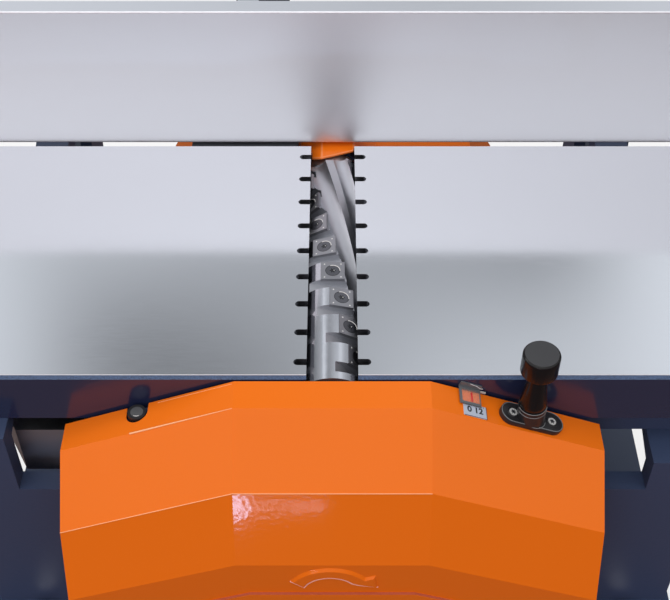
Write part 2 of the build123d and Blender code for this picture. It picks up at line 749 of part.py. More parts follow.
with BuildPart() as rear_bearing_cap:
    with BuildSketch(across(CAP_BACK)) as cap_section:
        with BuildLine():
            Polyline(
                (CAP_LEFT, REAR_TOP),
                (CAP_LEFT, CAP_TOP - CAP_LEFT_FALL),
                (NOSE_X, CAP_TOP),
                (NOSE_HALF, CAP_TOP),
                (CAP_RIGHT, REAR_TOP),
                close=True,
            )
        make_face()
    extrude(amount=CAP_BACK - COVER_BACK)
    with BuildSketch(across(CAP_BACK - COVER_WALL)):
        cap_outline = cap_section.sketch.face()
        add(cap_outline.moved(Location((0, -COVER_WALL, -COVER_WALL))))
        add(cap_outline.moved(Location((COVER_WALL, -COVER_WALL, -COVER_WALL))), mode=Mode.INTERSECT)
    extrude(amount=CAP_BACK - COVER_WALL - COVER_BACK, mode=Mode.SUBTRACT)
    # a thin nose runs on between the tables and ends in a tip over the end of the block
    with BuildSketch(across(COVER_BACK + COVER_WALL)):
        with BuildLine():
            Polyline(
                (-NOSE_HALF, CAP_TOP - NOSE_FALL),
                (NOSE_X, CAP_TOP),
                (NOSE_HALF, CAP_TOP),
                (NOSE_HALF, CAP_TOP - COVER_WALL),
                (NOSE_X, CAP_TOP - COVER_WALL),
                (-NOSE_HALF, CAP_TOP - NOSE_FALL - COVER_WALL),
                close=True,
            )
        make_face()
    extrude(amount=COVER_GAP + COVER_WALL + 2 * NOSE_TIP)
    with BuildSketch(level(REAR_TOP)):
        with BuildLine():
            Polyline(
                (-LIP, HALF_W - NOSE_LEFT),
                (NOSE_X, HALF_W - NOSE_TIP),
                (LIP, HALF_W - NOSE_RIGHT),
                (LIP, 0),
                (-LIP, 0),
                close=True,
            )
        make_face()
    extrude(amount=CUT_RADIUS, mode=Mode.SUBTRACT)
finish(rear_bearing_cap, "rear_bearing_cap")


# Cutterblock: a fluted body twisted along its length, with flat seats for the inserts
def polar(radius, angle):
    """Point at a radius and an angle in degrees, counted from straight up towards +X."""
    return (radius * sin(radians(angle)), radius * cos(radians(angle)))


def edge_angle(row, y):
    """Angle of a row's cutting edge at a given Y."""
    return row * 360 / ROWS - TWIST * (y - TWIST_START)


def block_section(y):
    """Section of the fluted body: a gullet, a flat back and a dip ahead of each edge, and a round land."""
    plane = Plane(origin=(0, y, AXIS_Z), x_dir=(1, 0, 0), z_dir=(0, -1, 0))
    row_angle = 360 / ROWS
    with BuildSketch(plane) as section:
        with BuildLine():
            for row in range(ROWS):
                start = edge_angle(row, y)
                edge = polar(LAND_RADIUS, start)
                crest = polar(CREST_RADIUS, start + CREST_ANGLE)
                ridge = polar(RIDGE_RADIUS, start + RIDGE_ANGLE)
                heel = polar(LAND_RADIUS, start + HEEL_ANGLE)
                next_edge = polar(LAND_RADIUS, start + row_angle)
                ThreePointArc(edge, polar(GULLET_RADIUS, start + GULLET_ANGLE), crest)
                Line(crest, ridge)
                ThreePointArc(ridge, polar(DIP_RADIUS, start + DIP_ANGLE), heel)
                ThreePointArc(heel, polar(LAND_RADIUS, start + (HEEL_ANGLE + row_angle) / 2), next_edge)
        make_face()
    return section.sketch


def row_plane(row, y, radius):
    """Plane square to an insert's middle line: its X leads in the turning direction, its Y runs along +Y."""
    lean = edge_angle(row, y) - INSERT_LEAN
    east, up = polar(1, lean)
    return Plane(origin=(radius * east, y, AXIS_Z + radius * up), x_dir=(up, 0, -east), z_dir=(east, 0, up))


TOP_RADIUS = CUT_RADIUS * cos(radians(INSERT_LEAN))
SEAT_RADIUS = TOP_RADIUS - INSERT_THICKNESS
EDGE_OFFSET = CUT_RADIUS * sin(radians(INSERT_LEAN))
INSERT_MID = EDGE_OFFSET - INSERT_WIDTH / 2
BLOCK_SECTIONS = 9
BLOCK_STEP = (BLOCK_REAR - BLOCK_FRONT) / (BLOCK_SECTIONS - 1)

seats = []
grooves = []
for row in range(ROWS):
    lead = INSERT_START + row * INSERT_PITCH / ROWS
    insert_end = INSERT_LENGTH / 2 + INSERT_MARGIN
    first = ceil((BLOCK_FRONT + insert_end - lead) / INSERT_PITCH)
    last = floor((BLOCK_REAR - insert_end - lead) / INSERT_PITCH)
    for number in range(first, last + 1):
        seats.append(row_plane(row, lead + number * INSERT_PITCH, SEAT_RADIUS))
    for number in range(first, last + 2):
        grooves.append(row_plane(row, lead + (number - 0.5) * INSERT_PITCH, GROOVE_RADIUS))
block_sections = [block_section(BLOCK_FRONT + step * BLOCK_STEP) for step in range(BLOCK_SECTIONS)]
CENTRE_LOW = (Align.CENTER, Align.CENTER, Align.MIN)
TRAIL_LOW = (Align.MIN, Align.CENTER, Align.MIN)
LEAD_LOW = (Align.MAX, Align.CENTER, Align.MIN)

with BuildPart() as cutterblock:
    loft(block_sections)
    with Locations(*seats):
        with Locations((INSERT_MID - INSERT_WIDTH / 2 - SEAT_GAP, 0, 0)):
            Box(CUT_RADIUS, INSERT_LENGTH + 2 * SEAT_GAP, CUT_RADIUS, align=TRAIL_LOW, mode=Mode.SUBTRACT)
        with Locations((INSERT_MID, 0, -SHANK_LENGTH)):
            Cylinder(INSERT_SHANK / 2, SHANK_LENGTH, align=CENTRE_LOW, mode=Mode.SUBTRACT)
    groove_length = INSERT_PITCH - INSERT_LENGTH - 2 * SEAT_GAP
    with Locations(*grooves):
        with Locations((EDGE_OFFSET + GROOVE_LEAD, 0, 0)):
            Box(2 * CUT_RADIUS, groove_length, CUT_RADIUS, align=LEAD_LOW, mode=Mode.SUBTRACT)
    journal_plane = Plane(origin=(0, BLOCK_REAR, AXIS_Z), x_dir=(1, 0, 0), z_dir=(0, 1, 0))
    with BuildSketch(journal_plane):
        Circle(END_RADIUS)
    extrude(amount=END_LENGTH)
    with BuildSketch(journal_plane):
        Circle(SHOULDER_RADIUS)
    extrude(amount=FRAME_IN - BLOCK_REAR - SHOULDER_GAP)
    with BuildSketch(journal_plane):
        Circle(JOURNAL_RADIUS)
    extrude(amount=FRAME_OUT - BLOCK_REAR)
    front_plane = Plane(origin=(0, BLOCK_FRONT, AXIS_Z), x_dir=(1, 0, 0), z_dir=(0, -1, 0))
    with BuildSketch(front_plane):
        Circle(SHOULDER_RADIUS)
    extrude(amount=SIDE_GAP - SHOULDER_GAP)
    with BuildSketch(front_plane):
        Circle(JOURNAL_RADIUS)
    extrude(amount=-BELT_Y + PULLEY_WIDTH / 2 + BLOCK_FRONT)
finish(cutterblock, "cutterblock")

with BuildPart() as carbide_inserts:
    with Locations(*seats):
        with Locations((INSERT_MID, 0, 0)):
            Box(INSERT_WIDTH, INSERT_LENGTH, INSERT_THICKNESS, align=CENTRE_LOW)
            Cone(
                INSERT_SHANK / 2,
                INSERT_HEAD / 2,
                INSERT_THICKNESS,
                align=CENTRE_LOW,
                mode=Mode.SUBTRACT,
            )
finish(carbide_inserts, "carbide_inserts")

with BuildPart() as insert_screws:
    with Locations(*seats):
        with Locations((INSERT_MID, 0, 0)):
            Cone(INSERT_SHANK / 2, INSERT_HEAD / 2, INSERT_THICKNESS, align=CENTRE_LOW)
        with Locations((INSERT_MID, 0, -SHANK_LENGTH)):
            Cylinder(INSERT_SHANK / 2, SHANK_LENGTH, align=CENTRE_LOW)
finish(insert_screws, "insert_screws")

for bearing_y, bearing_name in ((-FRAME_IN, "front"), (FRAME_OUT, "rear")):
    with BuildPart() as cutter_bearing:
        with BuildSketch(across(bearing_y - (FRAME_T - BEARING_WIDTH) / 2)):
            with Locations((0, AXIS_Z)):
                Circle(BEARING_OD / 2)
                Circle(JOURNAL_RADIUS + RUNNING_FIT, mode=Mode.SUBTRACT)
        extrude(amount=BEARING_WIDTH)
        chamfer(edges().filter_by(GeomType.CIRCLE), BEARING_CHAMFER)
    finish(cutter_bearing, f"{bearing_name}_cutter_bearing")


# Main drive: belt from the motor in the cabinet to the front end of the cutterblock
def pulley(x, z, radius, bore):
    """A flat belt pulley with two low rims, on the belt's line."""
    with BuildPart() as wheel:
        with BuildSketch(across(BELT_Y + PULLEY_WIDTH / 2)):
            with Locations((x, z)):
                Circle(radius)
        extrude(amount=PULLEY_WIDTH)
        for rim_y in (BELT_Y + PULLEY_WIDTH / 2, BELT_Y - PULLEY_WIDTH / 2 + PULLEY_RIM):
            with BuildSketch(across(rim_y)):
                with Locations((x, z)):
                    Circle(radius + PULLEY_RIM)
            extrude(amount=PULLEY_RIM)
        with BuildSketch(across(BELT_Y + PULLEY_WIDTH / 2)):
            with Locations((x, z)):
                Circle(bore)
        extrude(amount=PULLEY_WIDTH, mode=Mode.SUBTRACT)
    return wheel


cutter_pulley = pulley(0, AXIS_Z, CUTTER_PULLEY, JOURNAL_RADIUS)
finish(cutter_pulley, "cutter_pulley")

with BuildPart() as motor_pulley:
    add(pulley(MOTOR_X, MOTOR_Z, MOTOR_PULLEY, MOTOR_SHAFT).part)
    with BuildSketch(across(MOTOR_FRONT + 2 * MOTOR_SHAFT)):
        with Locations((MOTOR_X, MOTOR_Z)):
            Circle(MOTOR_SHAFT)
    extrude(amount=MOTOR_FRONT + 2 * MOTOR_SHAFT - BELT_Y + PULLEY_WIDTH / 2)
finish(motor_pulley, "motor_pulley")

with BuildPart() as drive_belt:
    for skin, belt_mode in ((BELT_GAP + BELT_T, Mode.ADD), (BELT_GAP, Mode.SUBTRACT)):
        with BuildSketch(across(BELT_Y + BELT_WIDTH / 2)):
            with Locations((0, AXIS_Z)):
                Circle(CUTTER_PULLEY + skin)
            with Locations((MOTOR_X, MOTOR_Z)):
                Circle(MOTOR_PULLEY + skin)
            make_hull()
        extrude(amount=BELT_WIDTH, mode=belt_mode)
finish(drive_belt, "drive_belt")

with BuildPart() as motor:
    with BuildSketch(across(MOTOR_FRONT + MOTOR_LENGTH)):
        with Locations((MOTOR_X, MOTOR_Z)):
            Circle(MOTOR_RADIUS - FIN)
    extrude(amount=MOTOR_LENGTH)
    with BuildSketch(across(MOTOR_FRONT + MOTOR_LENGTH - MOTOR_COWL)):
        with Locations((MOTOR_X, MOTOR_Z)):
            with PolarLocations(MOTOR_RADIUS - FIN, MOTOR_FINS):
                Rectangle(2 * FIN, FIN / 2)
    extrude(amount=MOTOR_LENGTH - MOTOR_COWL - MOTOR_BELL)
    with BuildSketch(across(MOTOR_FRONT + MOTOR_LENGTH)):
        with Locations((MOTOR_X, MOTOR_Z)):
            Circle(MOTOR_RADIUS)
    extrude(amount=MOTOR_COWL)
    with BuildSketch(level(SHELF_Z)):
        with Locations((MOTOR_X, MOTOR_FRONT + MOTOR_LENGTH / 2)):
            Rectangle(2 * MOTOR_RADIUS, MOTOR_LENGTH / 2)
    extrude(amount=FIN * 2)
    with BuildSketch(level(SHELF_Z)):
        with Locations((MOTOR_X, MOTOR_FRONT + MOTOR_LENGTH / 2)):
            Rectangle(MOTOR_RADIUS, MOTOR_LENGTH / 2)
    extrude(amount=MOTOR_Z - SHELF_Z - MOTOR_RADIUS / 2)
    with BuildSketch(across(MOTOR_FRONT)):
        with Locations((MOTOR_X, MOTOR_Z)):
            Circle(MOTOR_SHAFT + RUNNING_FIT)
    extrude(amount=-2 * MOTOR_SHAFT - FIN, mode=Mode.SUBTRACT)
finish(motor, "motor")


# Feed rollers in sprung blocks that slide in the frames' slots
def sprocket_face(x, z):
    """Toothed outline of a chain wheel in the current sketch."""
    with Locations((x, z)):
        Circle(SPROCKET_RADIUS - TOOTH_LENGTH / 2)
        with PolarLocations(SPROCKET_RADIUS - TOOTH_LENGTH / 2, SPROCKET_TEETH):
            Rectangle(TOOTH_LENGTH, TOOTH_WIDTH)


def roller(x, chain_y):
    """Plain roller with its journals and the chain wheel on its rear end."""
    with BuildPart() as shaft:
        with BuildSketch(across(ROLL_HALF)):
            with Locations((x, ROLL_Z)):
                Circle(ROLL_RADIUS)
        extrude(amount=2 * ROLL_HALF)
        with BuildSketch(across(chain_y)):
            with Locations((x, ROLL_Z)):
                Circle(JOURNAL_RADIUS)
        extrude(amount=chain_y + FRAME_OUT)
        with BuildSketch(across(chain_y)):
            sprocket_face(x, ROLL_Z)
        extrude(amount=SPROCKET_T)
    return shaft


with BuildPart() as serrated_feed_roller:
    add(roller(-ROLL_X, LEFT_CHAIN_Y).part)
    with BuildSketch(across(ROLL_HALF)):
        with Locations((-ROLL_X, ROLL_Z)):
            with PolarLocations(ROLL_RADIUS, ROLL_FLUTES):
                Rectangle(FLUTE_SIDE, FLUTE_SIDE, rotation=45)
    extrude(amount=2 * ROLL_HALF, mode=Mode.SUBTRACT)
finish(serrated_feed_roller, "serrated_feed_roller")

smooth_feed_roller = roller(ROLL_X, RIGHT_CHAIN_Y)
finish(smooth_feed_roller, "smooth_feed_roller")

for block_x, block_name in ((-ROLL_X, "serrated"), (ROLL_X, "smooth")):
    with BuildPart() as roller_blocks:
        for block_y in (-FRAME_IN, FRAME_OUT):
            with BuildSketch(across(block_y)):
                with Locations((block_x, ROLL_Z)):
                    Rectangle(BLOCK_W, BLOCK_H)
                    Circle(JOURNAL_RADIUS + RUNNING_FIT, mode=Mode.SUBTRACT)
            extrude(amount=FRAME_T)
    finish(roller_blocks, f"{block_name}_roller_blocks")

with BuildPart() as feed_chains:
    for roll_x, chain_y in ((-ROLL_X, LEFT_CHAIN_Y), (ROLL_X, RIGHT_CHAIN_Y)):
        for skin, chain_mode in ((CHAIN_T, Mode.ADD), (0, Mode.SUBTRACT)):
            loop = SPROCKET_RADIUS + ROLL_FLOAT + CHAIN_GAP + skin
            with BuildSketch(across(chain_y)):
                with Locations((roll_x, ROLL_Z), (0, FEED_DRIVE_Z)):
                    Circle(loop)
                make_hull()
            extrude(amount=SPROCKET_T, mode=chain_mode)
finish(feed_chains, "feed_chains")

with BuildPart() as feed_drive_sprocket:
    for chain_y in (LEFT_CHAIN_Y, RIGHT_CHAIN_Y):
        with BuildSketch(across(chain_y)):
            sprocket_face(0, FEED_DRIVE_Z)
        extrude(amount=SPROCKET_T)
    with BuildSketch(across(GEARBOX_FRONT + GEARBOX_DEPTH / 2)):
        with Locations((0, FEED_DRIVE_Z)):
            Circle(FEED_SHAFT)
    extrude(amount=GEARBOX_OUT + GEARBOX_DEPTH / 2 - SHOULDER_GAP)
finish(feed_drive_sprocket, "feed_drive_sprocket")

with BuildPart() as feed_gearmotor:
    with BuildSketch(across(GEARBOX_FRONT + GEARBOX_DEPTH)):
        with Locations((0, FEED_DRIVE_Z)):
            Circle(GEARBOX_TOP)
        with Locations((-GEARBOX_TOP, FEED_DRIVE_Z - GEARBOX_TOP), (GEARBOX_TOP, FEED_DRIVE_Z - GEARBOX_TOP)):
            Circle(FEED_SHAFT)
        make_hull()
    extrude(amount=GEARBOX_DEPTH)
    with BuildSketch(across(GEARBOX_FRONT)):
        for post_x in (-GEARBOX_TOP, GEARBOX_TOP):
            with Locations((post_x, FEED_DRIVE_Z - GEARBOX_TOP)):
                Circle(FEED_POST)
        with Locations((0, FEED_DRIVE_Z + GEARBOX_TOP - FEED_POST)):
            Circle(FEED_POST)
    extrude(amount=GEARBOX_FRONT - FRAME_OUT)
    with BuildSketch(across(GEARBOX_FRONT)):
        with Locations((0, FEED_DRIVE_Z)):
            Circle(FEED_SHAFT + RUNNING_FIT)
    extrude(amount=-GEARBOX_DEPTH / 2 - SHOULDER_GAP, mode=Mode.SUBTRACT)
finish(feed_gearmotor, "feed_gearmotor")

with BuildPart() as finger_shaft:
    with BuildSketch(across(FRAME_OUT)):
        with Locations((FINGER_X, FINGER_Z)):
            Circle(FINGER_SHAFT)
    extrude(amount=2 * FRAME_OUT)
finish(finger_shaft, "finger_shaft")

with BuildPart() as kickback_fingers:
    for number in range(FINGERS):
        finger_y = (number - (FINGERS - 1) / 2) * FINGER_PITCH + FINGER_T / 2
        with BuildSketch(across(finger_y)):
            with Locations((FINGER_X, FINGER_Z)):
                Circle(FINGER_HUB)
            with Locations((FINGER_X + FINGER_TRAIL, CUT_Z - FINGER_BELOW + FINGER_TIP)):
                Circle(FINGER_TIP)
            make_hull()
            with Locations((FINGER_X, FINGER_Z)):
                Circle(FINGER_SHAFT + RUNNING_FIT, mode=Mode.SUBTRACT)
        extrude(amount=FINGER_T)
finish(kickback_fingers, "kickback_fingers")


# Chip chute: a flat duct under the cutterblock that draws out on rails to the outfeed side
def chute_body(inset):
    """The duct, its neck and its round port, drawn in by an inset."""
    with BuildPart() as duct:
        with BuildSketch(along(-CHUTE_END)) as duct_section:
            with Locations((0, CHUTE_MID)):
                Rectangle(2 * (CHUTE_HALF - inset), CHUTE_HEIGHT - 2 * inset)
        extrude(amount=CHUTE_END + CHUTE_HEAD - inset)
        with BuildSketch(along(-CHUTE_END - CHUTE_NECK)) as port_section:
            with Locations((0, CHUTE_MID)):
                Circle(PORT_RADIUS - inset)
        loft([duct_section.sketch, port_section.sketch])
        extrude(port_section.sketch, amount=-PORT_LENGTH)
    return duct


chute_outside = chute_body(0.0)
chute_inside = chute_body(CHUTE_WALL)

with BuildPart() as chip_chute:
    add(chute_outside.part)
    with BuildSketch(level(RAIL_TOP + RAIL_CLEAR)):
        with Locations((CHUTE_HEAD, 0)):
            Rectangle(FRAME_X + CHUTE_HEAD, 2 * RAIL_FLANGE, align=(Align.MAX, Align.CENTER))
    extrude(amount=CHUTE_WALL)
    add(chute_inside.part, mode=Mode.SUBTRACT)
    with BuildSketch(level(CHUTE_TOP)):
        Rectangle(2 * MOUTH_HALF, 2 * (CHUTE_HALF - CHUTE_WALL))
    extrude(amount=-CHUTE_WALL, mode=Mode.SUBTRACT)
finish(chip_chute, "chip_chute")

with BuildPart() as chute_rails:
    with BuildSketch(along(-FRAME_X)):
        for side in (-1, 1):
            with Locations((side * (RAIL_IN + FRAME_IN) / 2, RAIL_TOP - RAIL_H / 2)):
                Rectangle(FRAME_IN - RAIL_IN, RAIL_H)
    extrude(amount=2 * FRAME_X)
finish(chute_rails, "chute_rails")


# Thicknessing table on its lifting column
with BuildPart() as thickness_table:
    with BuildSketch(level(THICK_BOTTOM)):
        Rectangle(2 * THICK_HALF_X, 2 * THICK_HALF_Y)
    extrude(amount=THICK_DEPTH)
    end_edges = faces().sort_by(Axis.Z)[-1].edges().filter_by(Axis.Y)
    chamfer(end_edges, length=THICK_LEAD, length2=THICK_LEAD / 2)
    with BuildSketch(level(THICK_BOTTOM)):
        bay_x = (2 * THICK_HALF_X - 5 * THICK_WALL) / 4
        bay_y = (2 * THICK_HALF_Y - 3 * THICK_WALL) / 2
        with GridLocations(bay_x + THICK_WALL, bay_y + THICK_WALL, 4, 2):
            Rectangle(bay_x, bay_y)
    extrude(amount=THICK_DEPTH - THICK_PLATE, mode=Mode.SUBTRACT)
    with BuildSketch(level(THICK_BOTTOM)):
        Circle(THICK_BOSS)
    extrude(amount=THICK_DEPTH - THICK_PLATE)
finish(thickness_table, "thickness_table")

with BuildPart() as lift_column:
    with BuildSketch(level(COLUMN_BOTTOM)):
        Circle(COLUMN_RADIUS)
    extrude(amount=COLUMN_LENGTH)
    with BuildSketch(level(COLUMN_BOTTOM + NUT_LENGTH)):
        Circle(COLUMN_BORE)
    extrude(amount=COLUMN_LENGTH - NUT_LENGTH, mode=Mode.SUBTRACT)
    with BuildSketch(level(COLUMN_BOTTOM)):
        Circle(SCREW_RADIUS + RUNNING_FIT)
    extrude(amount=NUT_LENGTH, mode=Mode.SUBTRACT)
finish(lift_column, "lift_column")

with BuildPart() as column_guide:
    with BuildSketch(level(GUIDE_BOTTOM)):
        Circle(GUIDE_RADIUS)
    extrude(amount=GUIDE_LENGTH)
    with BuildSketch(level(CAB_TOP - SHEET)):
        Circle(GUIDE_FLANGE)
    extrude(amount=-GUIDE_FLANGE_T)
    with BuildSketch(level(GUIDE_BOTTOM)):
        Circle(COLUMN_RADIUS + GUIDE_FIT)
    extrude(amount=GUIDE_LENGTH, mode=Mode.SUBTRACT)
finish(column_guide, "column_guide")

with BuildPart() as lift_gearbox:
    with BuildSketch(level(GUIDE_BOTTOM)):
        RectangleRounded(LIFTBOX, LIFTBOX, CAB_CORNER / 2)
    extrude(amount=-LIFTBOX_H)
    with BuildSketch(level(GUIDE_BOTTOM)):
        Circle(SCREW_JOURNAL + RUNNING_FIT)
    extrude(amount=-SCREW_SEAT, mode=Mode.SUBTRACT)
    with BuildSketch(across(-LIFTBOX / 2)):
        with Locations((0, WHEEL_Z)):
            Circle(WHEEL_SHAFT + RUNNING_FIT)
    extrude(amount=-LIFTBOX / 2, mode=Mode.SUBTRACT)
finish(lift_gearbox, "lift_gearbox")

with BuildPart() as lift_screw:
    with BuildSketch(level(GUIDE_BOTTOM + BLOCK_FIT)):
        Circle(SCREW_RADIUS)
    extrude(amount=SCREW_TOP - GUIDE_BOTTOM)
    with BuildSketch(level(GUIDE_BOTTOM + BLOCK_FIT)):
        Circle(SCREW_JOURNAL)
    extrude(amount=-SCREW_SEAT)
finish(lift_screw, "lift_screw")

wheel_plane = Plane(origin=(0, WHEEL_Y, WHEEL_Z), x_dir=(1, 0, 0), z_dir=(0, -1, 0))

with BuildPart() as handwheel:
    with BuildSketch(Plane(origin=wheel_plane.origin, x_dir=(1, 0, 0), z_dir=(0, 0, 1))):
        with Locations((WHEEL_RADIUS, 0)):
            Circle(WHEEL_RIM)
    revolve(axis=Axis(wheel_plane.origin, (0, 1, 0)))
    with BuildSketch(wheel_plane.offset(-HUB_LENGTH / 2)):
        Circle(WHEEL_HUB)
    extrude(amount=HUB_LENGTH)
    with BuildSketch(wheel_plane.offset(-SPOKE / 2)):
        with PolarLocations(WHEEL_RADIUS / 2, SPOKES):
            Rectangle(WHEEL_RADIUS, SPOKE * 2)
        Circle(WHEEL_HUB, mode=Mode.SUBTRACT)
    extrude(amount=SPOKE)
    with BuildSketch(wheel_plane):
        Circle(WHEEL_SHAFT)
    extrude(amount=WHEEL_Y + WHEEL_SHAFT)
    with BuildSketch(wheel_plane):
        with Locations((WHEEL_RADIUS, 0)):
            Circle(CRANK_PIN)
    extrude(amount=WHEEL_RIM + CRANK_LENGTH)
finish(handwheel, "handwheel")

with BuildPart() as crank_knob:
    knob_start = WHEEL_Y - WHEEL_RIM - CRANK_GAP
    knob_end = knob_start - CRANK_LENGTH
    with BuildSketch(Plane(origin=(WHEEL_RADIUS, 0, WHEEL_Z), x_dir=(1, 0, 0), z_dir=(0, 0, 1))):
        with BuildLine():
            Polyline((0, knob_end), (0, knob_start), (CRANK_FOOT, knob_start))
            ThreePointArc(
                (CRANK_FOOT, knob_start),
                (CRANK_RADIUS, (knob_start + knob_end) / 2),
                (CRANK_FOOT, knob_end),
            )
            Line((CRANK_FOOT, knob_end), (0, knob_end))
        make_face()
    revolve(axis=Axis((WHEEL_RADIUS, 0, WHEEL_Z), (0, 1, 0)))
    with BuildSketch(Plane(origin=(WHEEL_RADIUS, knob_start, WHEEL_Z), x_dir=(1, 0, 0), z_dir=(0, -1, 0))):
        Circle(CRANK_PIN + RUNNING_FIT)
    extrude(amount=CRANK_LENGTH, mode=Mode.SUBTRACT)
finish(crank_knob, "crank_knob")


# Surface tables: one casting, made for the infeed side and mirrored for the outfeed side
with BuildPart() as table_casting:
    with BuildSketch(across(HALF_W)):
        with BuildLine():
            Polyline(
                (LIP, TABLE_Z),
                (TABLE_REACH, TABLE_Z),
                (TABLE_REACH, TABLE_Z - END_DEPTH),
                (TABLE_REACH - END_TAPER, SKIRT_BOTTOM),
                (LIP_REACH + SKIRT_FALL, SKIRT_BOTTOM),
                (LIP_REACH, TABLE_Z - LIP_DEPTH),
                (LIP, TABLE_Z - LIP_DEPTH),
                close=True,
            )
        make_face()
    extrude(amount=TABLE_WIDTH)
    chamfer(faces().sort_by(Axis.Z)[-1].edges().filter_by(Axis.X).sort_by(Axis.Y)[0], RIM_CHAMFER)
    # pockets under the plate: one wide bay by the lip, then pairs of bays between the ribs
    rib_places = [RIB_X + number * RIB_PITCH for number in range(RIBS)]
    bay_ends = [place - RIB / 2 for place in rib_places[1:]] + [TABLE_REACH - SKIRT_WALL]
    bay_depth = HALF_W - SKIRT_WALL - RIB / 2
    with BuildSketch(level(TABLE_Z - PLATE)):
        with Locations((THROAT, 0)):
            Rectangle(RIB_X - RIB / 2 - THROAT, 2 * (HALF_W - SKIRT_WALL), align=(Align.MIN, Align.CENTER))
        for rib_place, bay_end in zip(rib_places, bay_ends):
            bay_start = rib_place + RIB / 2
            with Locations(((bay_start + bay_end) / 2, 0)):
                with GridLocations(0, bay_depth + RIB, 1, 2):
                    Rectangle(bay_end - bay_start, bay_depth)
    extrude(amount=-SKIRT_DEPTH, mode=Mode.SUBTRACT)
    # the lip is relieved round the cutting circle and notched to quiet it
    with BuildSketch(across(HALF_W)):
        with Locations((0, AXIS_Z)):
            Circle(CUT_RADIUS + LIP_CLEARANCE)
    extrude(amount=TABLE_WIDTH, mode=Mode.SUBTRACT)
    with BuildSketch(level(TABLE_Z)):
        with Locations((LIP, 0)):
            with GridLocations(0, NOTCH_PITCH, 1, NOTCH_COUNT):
                SlotOverall(2 * NOTCH_LENGTH, NOTCH_WIDTH)
    extrude(amount=-2 * LIP_DEPTH, mode=Mode.SUBTRACT)


def way_foot(start):
    """Corners of an inclined sliding face in X and Z, from its high end to its low end."""
    return [(start, WAY_TOP), (start + WAY_LENGTH, WAY_TOP - WAY_LENGTH * SLOPE)]


WAY_PLANES = [across(WAY_OUT), across(-WAY_IN)]

with BuildPart() as infeed_table:
    add(table_casting.part)
    for way_plane in WAY_PLANES:
        for start in WAY_STARTS:
            high, low = way_foot(start)
            with BuildSketch(way_plane):
                with BuildLine():
                    Polyline(
                        (high[0], high[1] + WAY_GAP),
                        (low[0], low[1] + WAY_GAP),
                        (low[0], TABLE_Z - PLATE),
                        (high[0], TABLE_Z - PLATE),
                        close=True,
                    )
                make_face()
            extrude(amount=WAY_OUT - WAY_IN)
finish(infeed_table, "infeed_table")

with BuildPart() as outfeed_table:
    mirror(table_casting.part, about=Plane.YZ)
finish(outfeed_table, "outfeed_table")


def hinge_arm_sketch(plane, pad_z):
    """Side view of a hinge arm: an eye at the hinge drawn together with a pad under the table."""
    with BuildSketch(plane) as arm:
        with Locations((HINGE_Y, HINGE_Z)):
            Circle(ARM_EYE)
        with Locations((HALF_W + ARM_STEP, pad_z)):
            Rectangle(ARM_ROOT, ARM_PAD, align=(Align.MAX, Align.MAX))
        make_hull()
        with Locations((HINGE_Y, HINGE_Z)):
            Circle(HINGE_PIN + RUNNING_FIT, mode=Mode.SUBTRACT)
    return arm.sketch


outfeed_arm = hinge_arm_sketch(along(-ARM_OUT), SKIRT_BOTTOM)
infeed_arm = hinge_arm_sketch(along(ARM_X), CARRIER_Z + CARRIER_T)

with BuildPart() as outfeed_hinge_arm:
    extrude(outfeed_arm, amount=ARM_W)
    with BuildSketch(level(SKIRT_BOTTOM)):
        with Locations((-(ARM_X + ARM_OUT) / 2, HALF_W + ARM_STEP)):
            Rectangle(ARM_W, 4 * ARM_PAD, align=(Align.CENTER, Align.MAX))
    extrude(amount=-ARM_PAD)
finish(outfeed_hinge_arm, "outfeed_hinge_arm")

with BuildPart() as infeed_carrier:
    extrude(infeed_arm, amount=ARM_W)
    with BuildSketch(level(CARRIER_Z)):
        with Locations((CARRIER_IN, CARRIER_FRONT)):
            Rectangle(CARRIER_OUT - CARRIER_IN, HALF_W - CARRIER_FRONT, align=(Align.MIN, Align.MIN))
        with Locations((ARM_X, HALF_W)):
            Rectangle(ARM_W, ARM_STEP, align=(Align.MIN, Align.MIN))
    extrude(amount=CARRIER_T)
    for way_plane in WAY_PLANES:
        for start in WAY_STARTS:
            high, low = way_foot(start)
            with BuildSketch(way_plane):
                with BuildLine():
                    Polyline(high, low, (low[0], CARRIER_Z), (high[0], CARRIER_Z), close=True)
                make_face()
            extrude(amount=WAY_OUT - WAY_IN)
finish(infeed_carrier, "infeed_carrier")

# Hinge brackets on the rear frame's shoulders, with a fork for each arm
with BuildPart() as hinge_brackets:
    for side in (-1, 1):
        bracket_in = ARM_X - EAR_GAP - EAR_T
        bracket_out = ARM_OUT + EAR_GAP + EAR_T
        middle = side * (bracket_in + bracket_out) / 2
        with BuildSketch(level(SHOULDER_Z)):
            with Locations((middle, FRAME_IN)):
                Rectangle(
                    bracket_out - bracket_in,
                    HINGE_Y + EAR_EYE - FRAME_IN,
                    align=(Align.CENTER, Align.MIN),
                )
        extrude(amount=SLAB_T)
        for ear_x in (middle - (ARM_W + EAR_T) / 2 - EAR_GAP, middle + (ARM_W + EAR_T) / 2 + EAR_GAP):
            with BuildSketch(along(ear_x - EAR_T / 2)):
                with Locations((HINGE_Y, HINGE_Z)):
                    Circle(EAR_EYE)
                with Locations((HINGE_Y + EAR_EYE, SHOULDER_Z + SLAB_T)):
                    Rectangle(3 * EAR_EYE, EAR_EYE, align=(Align.MAX, Align.MAX))
                make_hull()
                with Locations((HINGE_Y, HINGE_Z)):
                    Circle(HINGE_PIN, mode=Mode.SUBTRACT)
            extrude(amount=EAR_T)
        with BuildSketch(along(middle - EAR_T)):
            with BuildLine():
                Polyline(
                    (FRAME_OUT, SHOULDER_Z),
                    (HINGE_Y, SHOULDER_Z),
                    (FRAME_OUT, SHOULDER_Z - 3 * SLAB_T),
                    close=True,
                )
            make_face()
        extrude(amount=2 * EAR_T)
finish(hinge_brackets, "hinge_brackets")

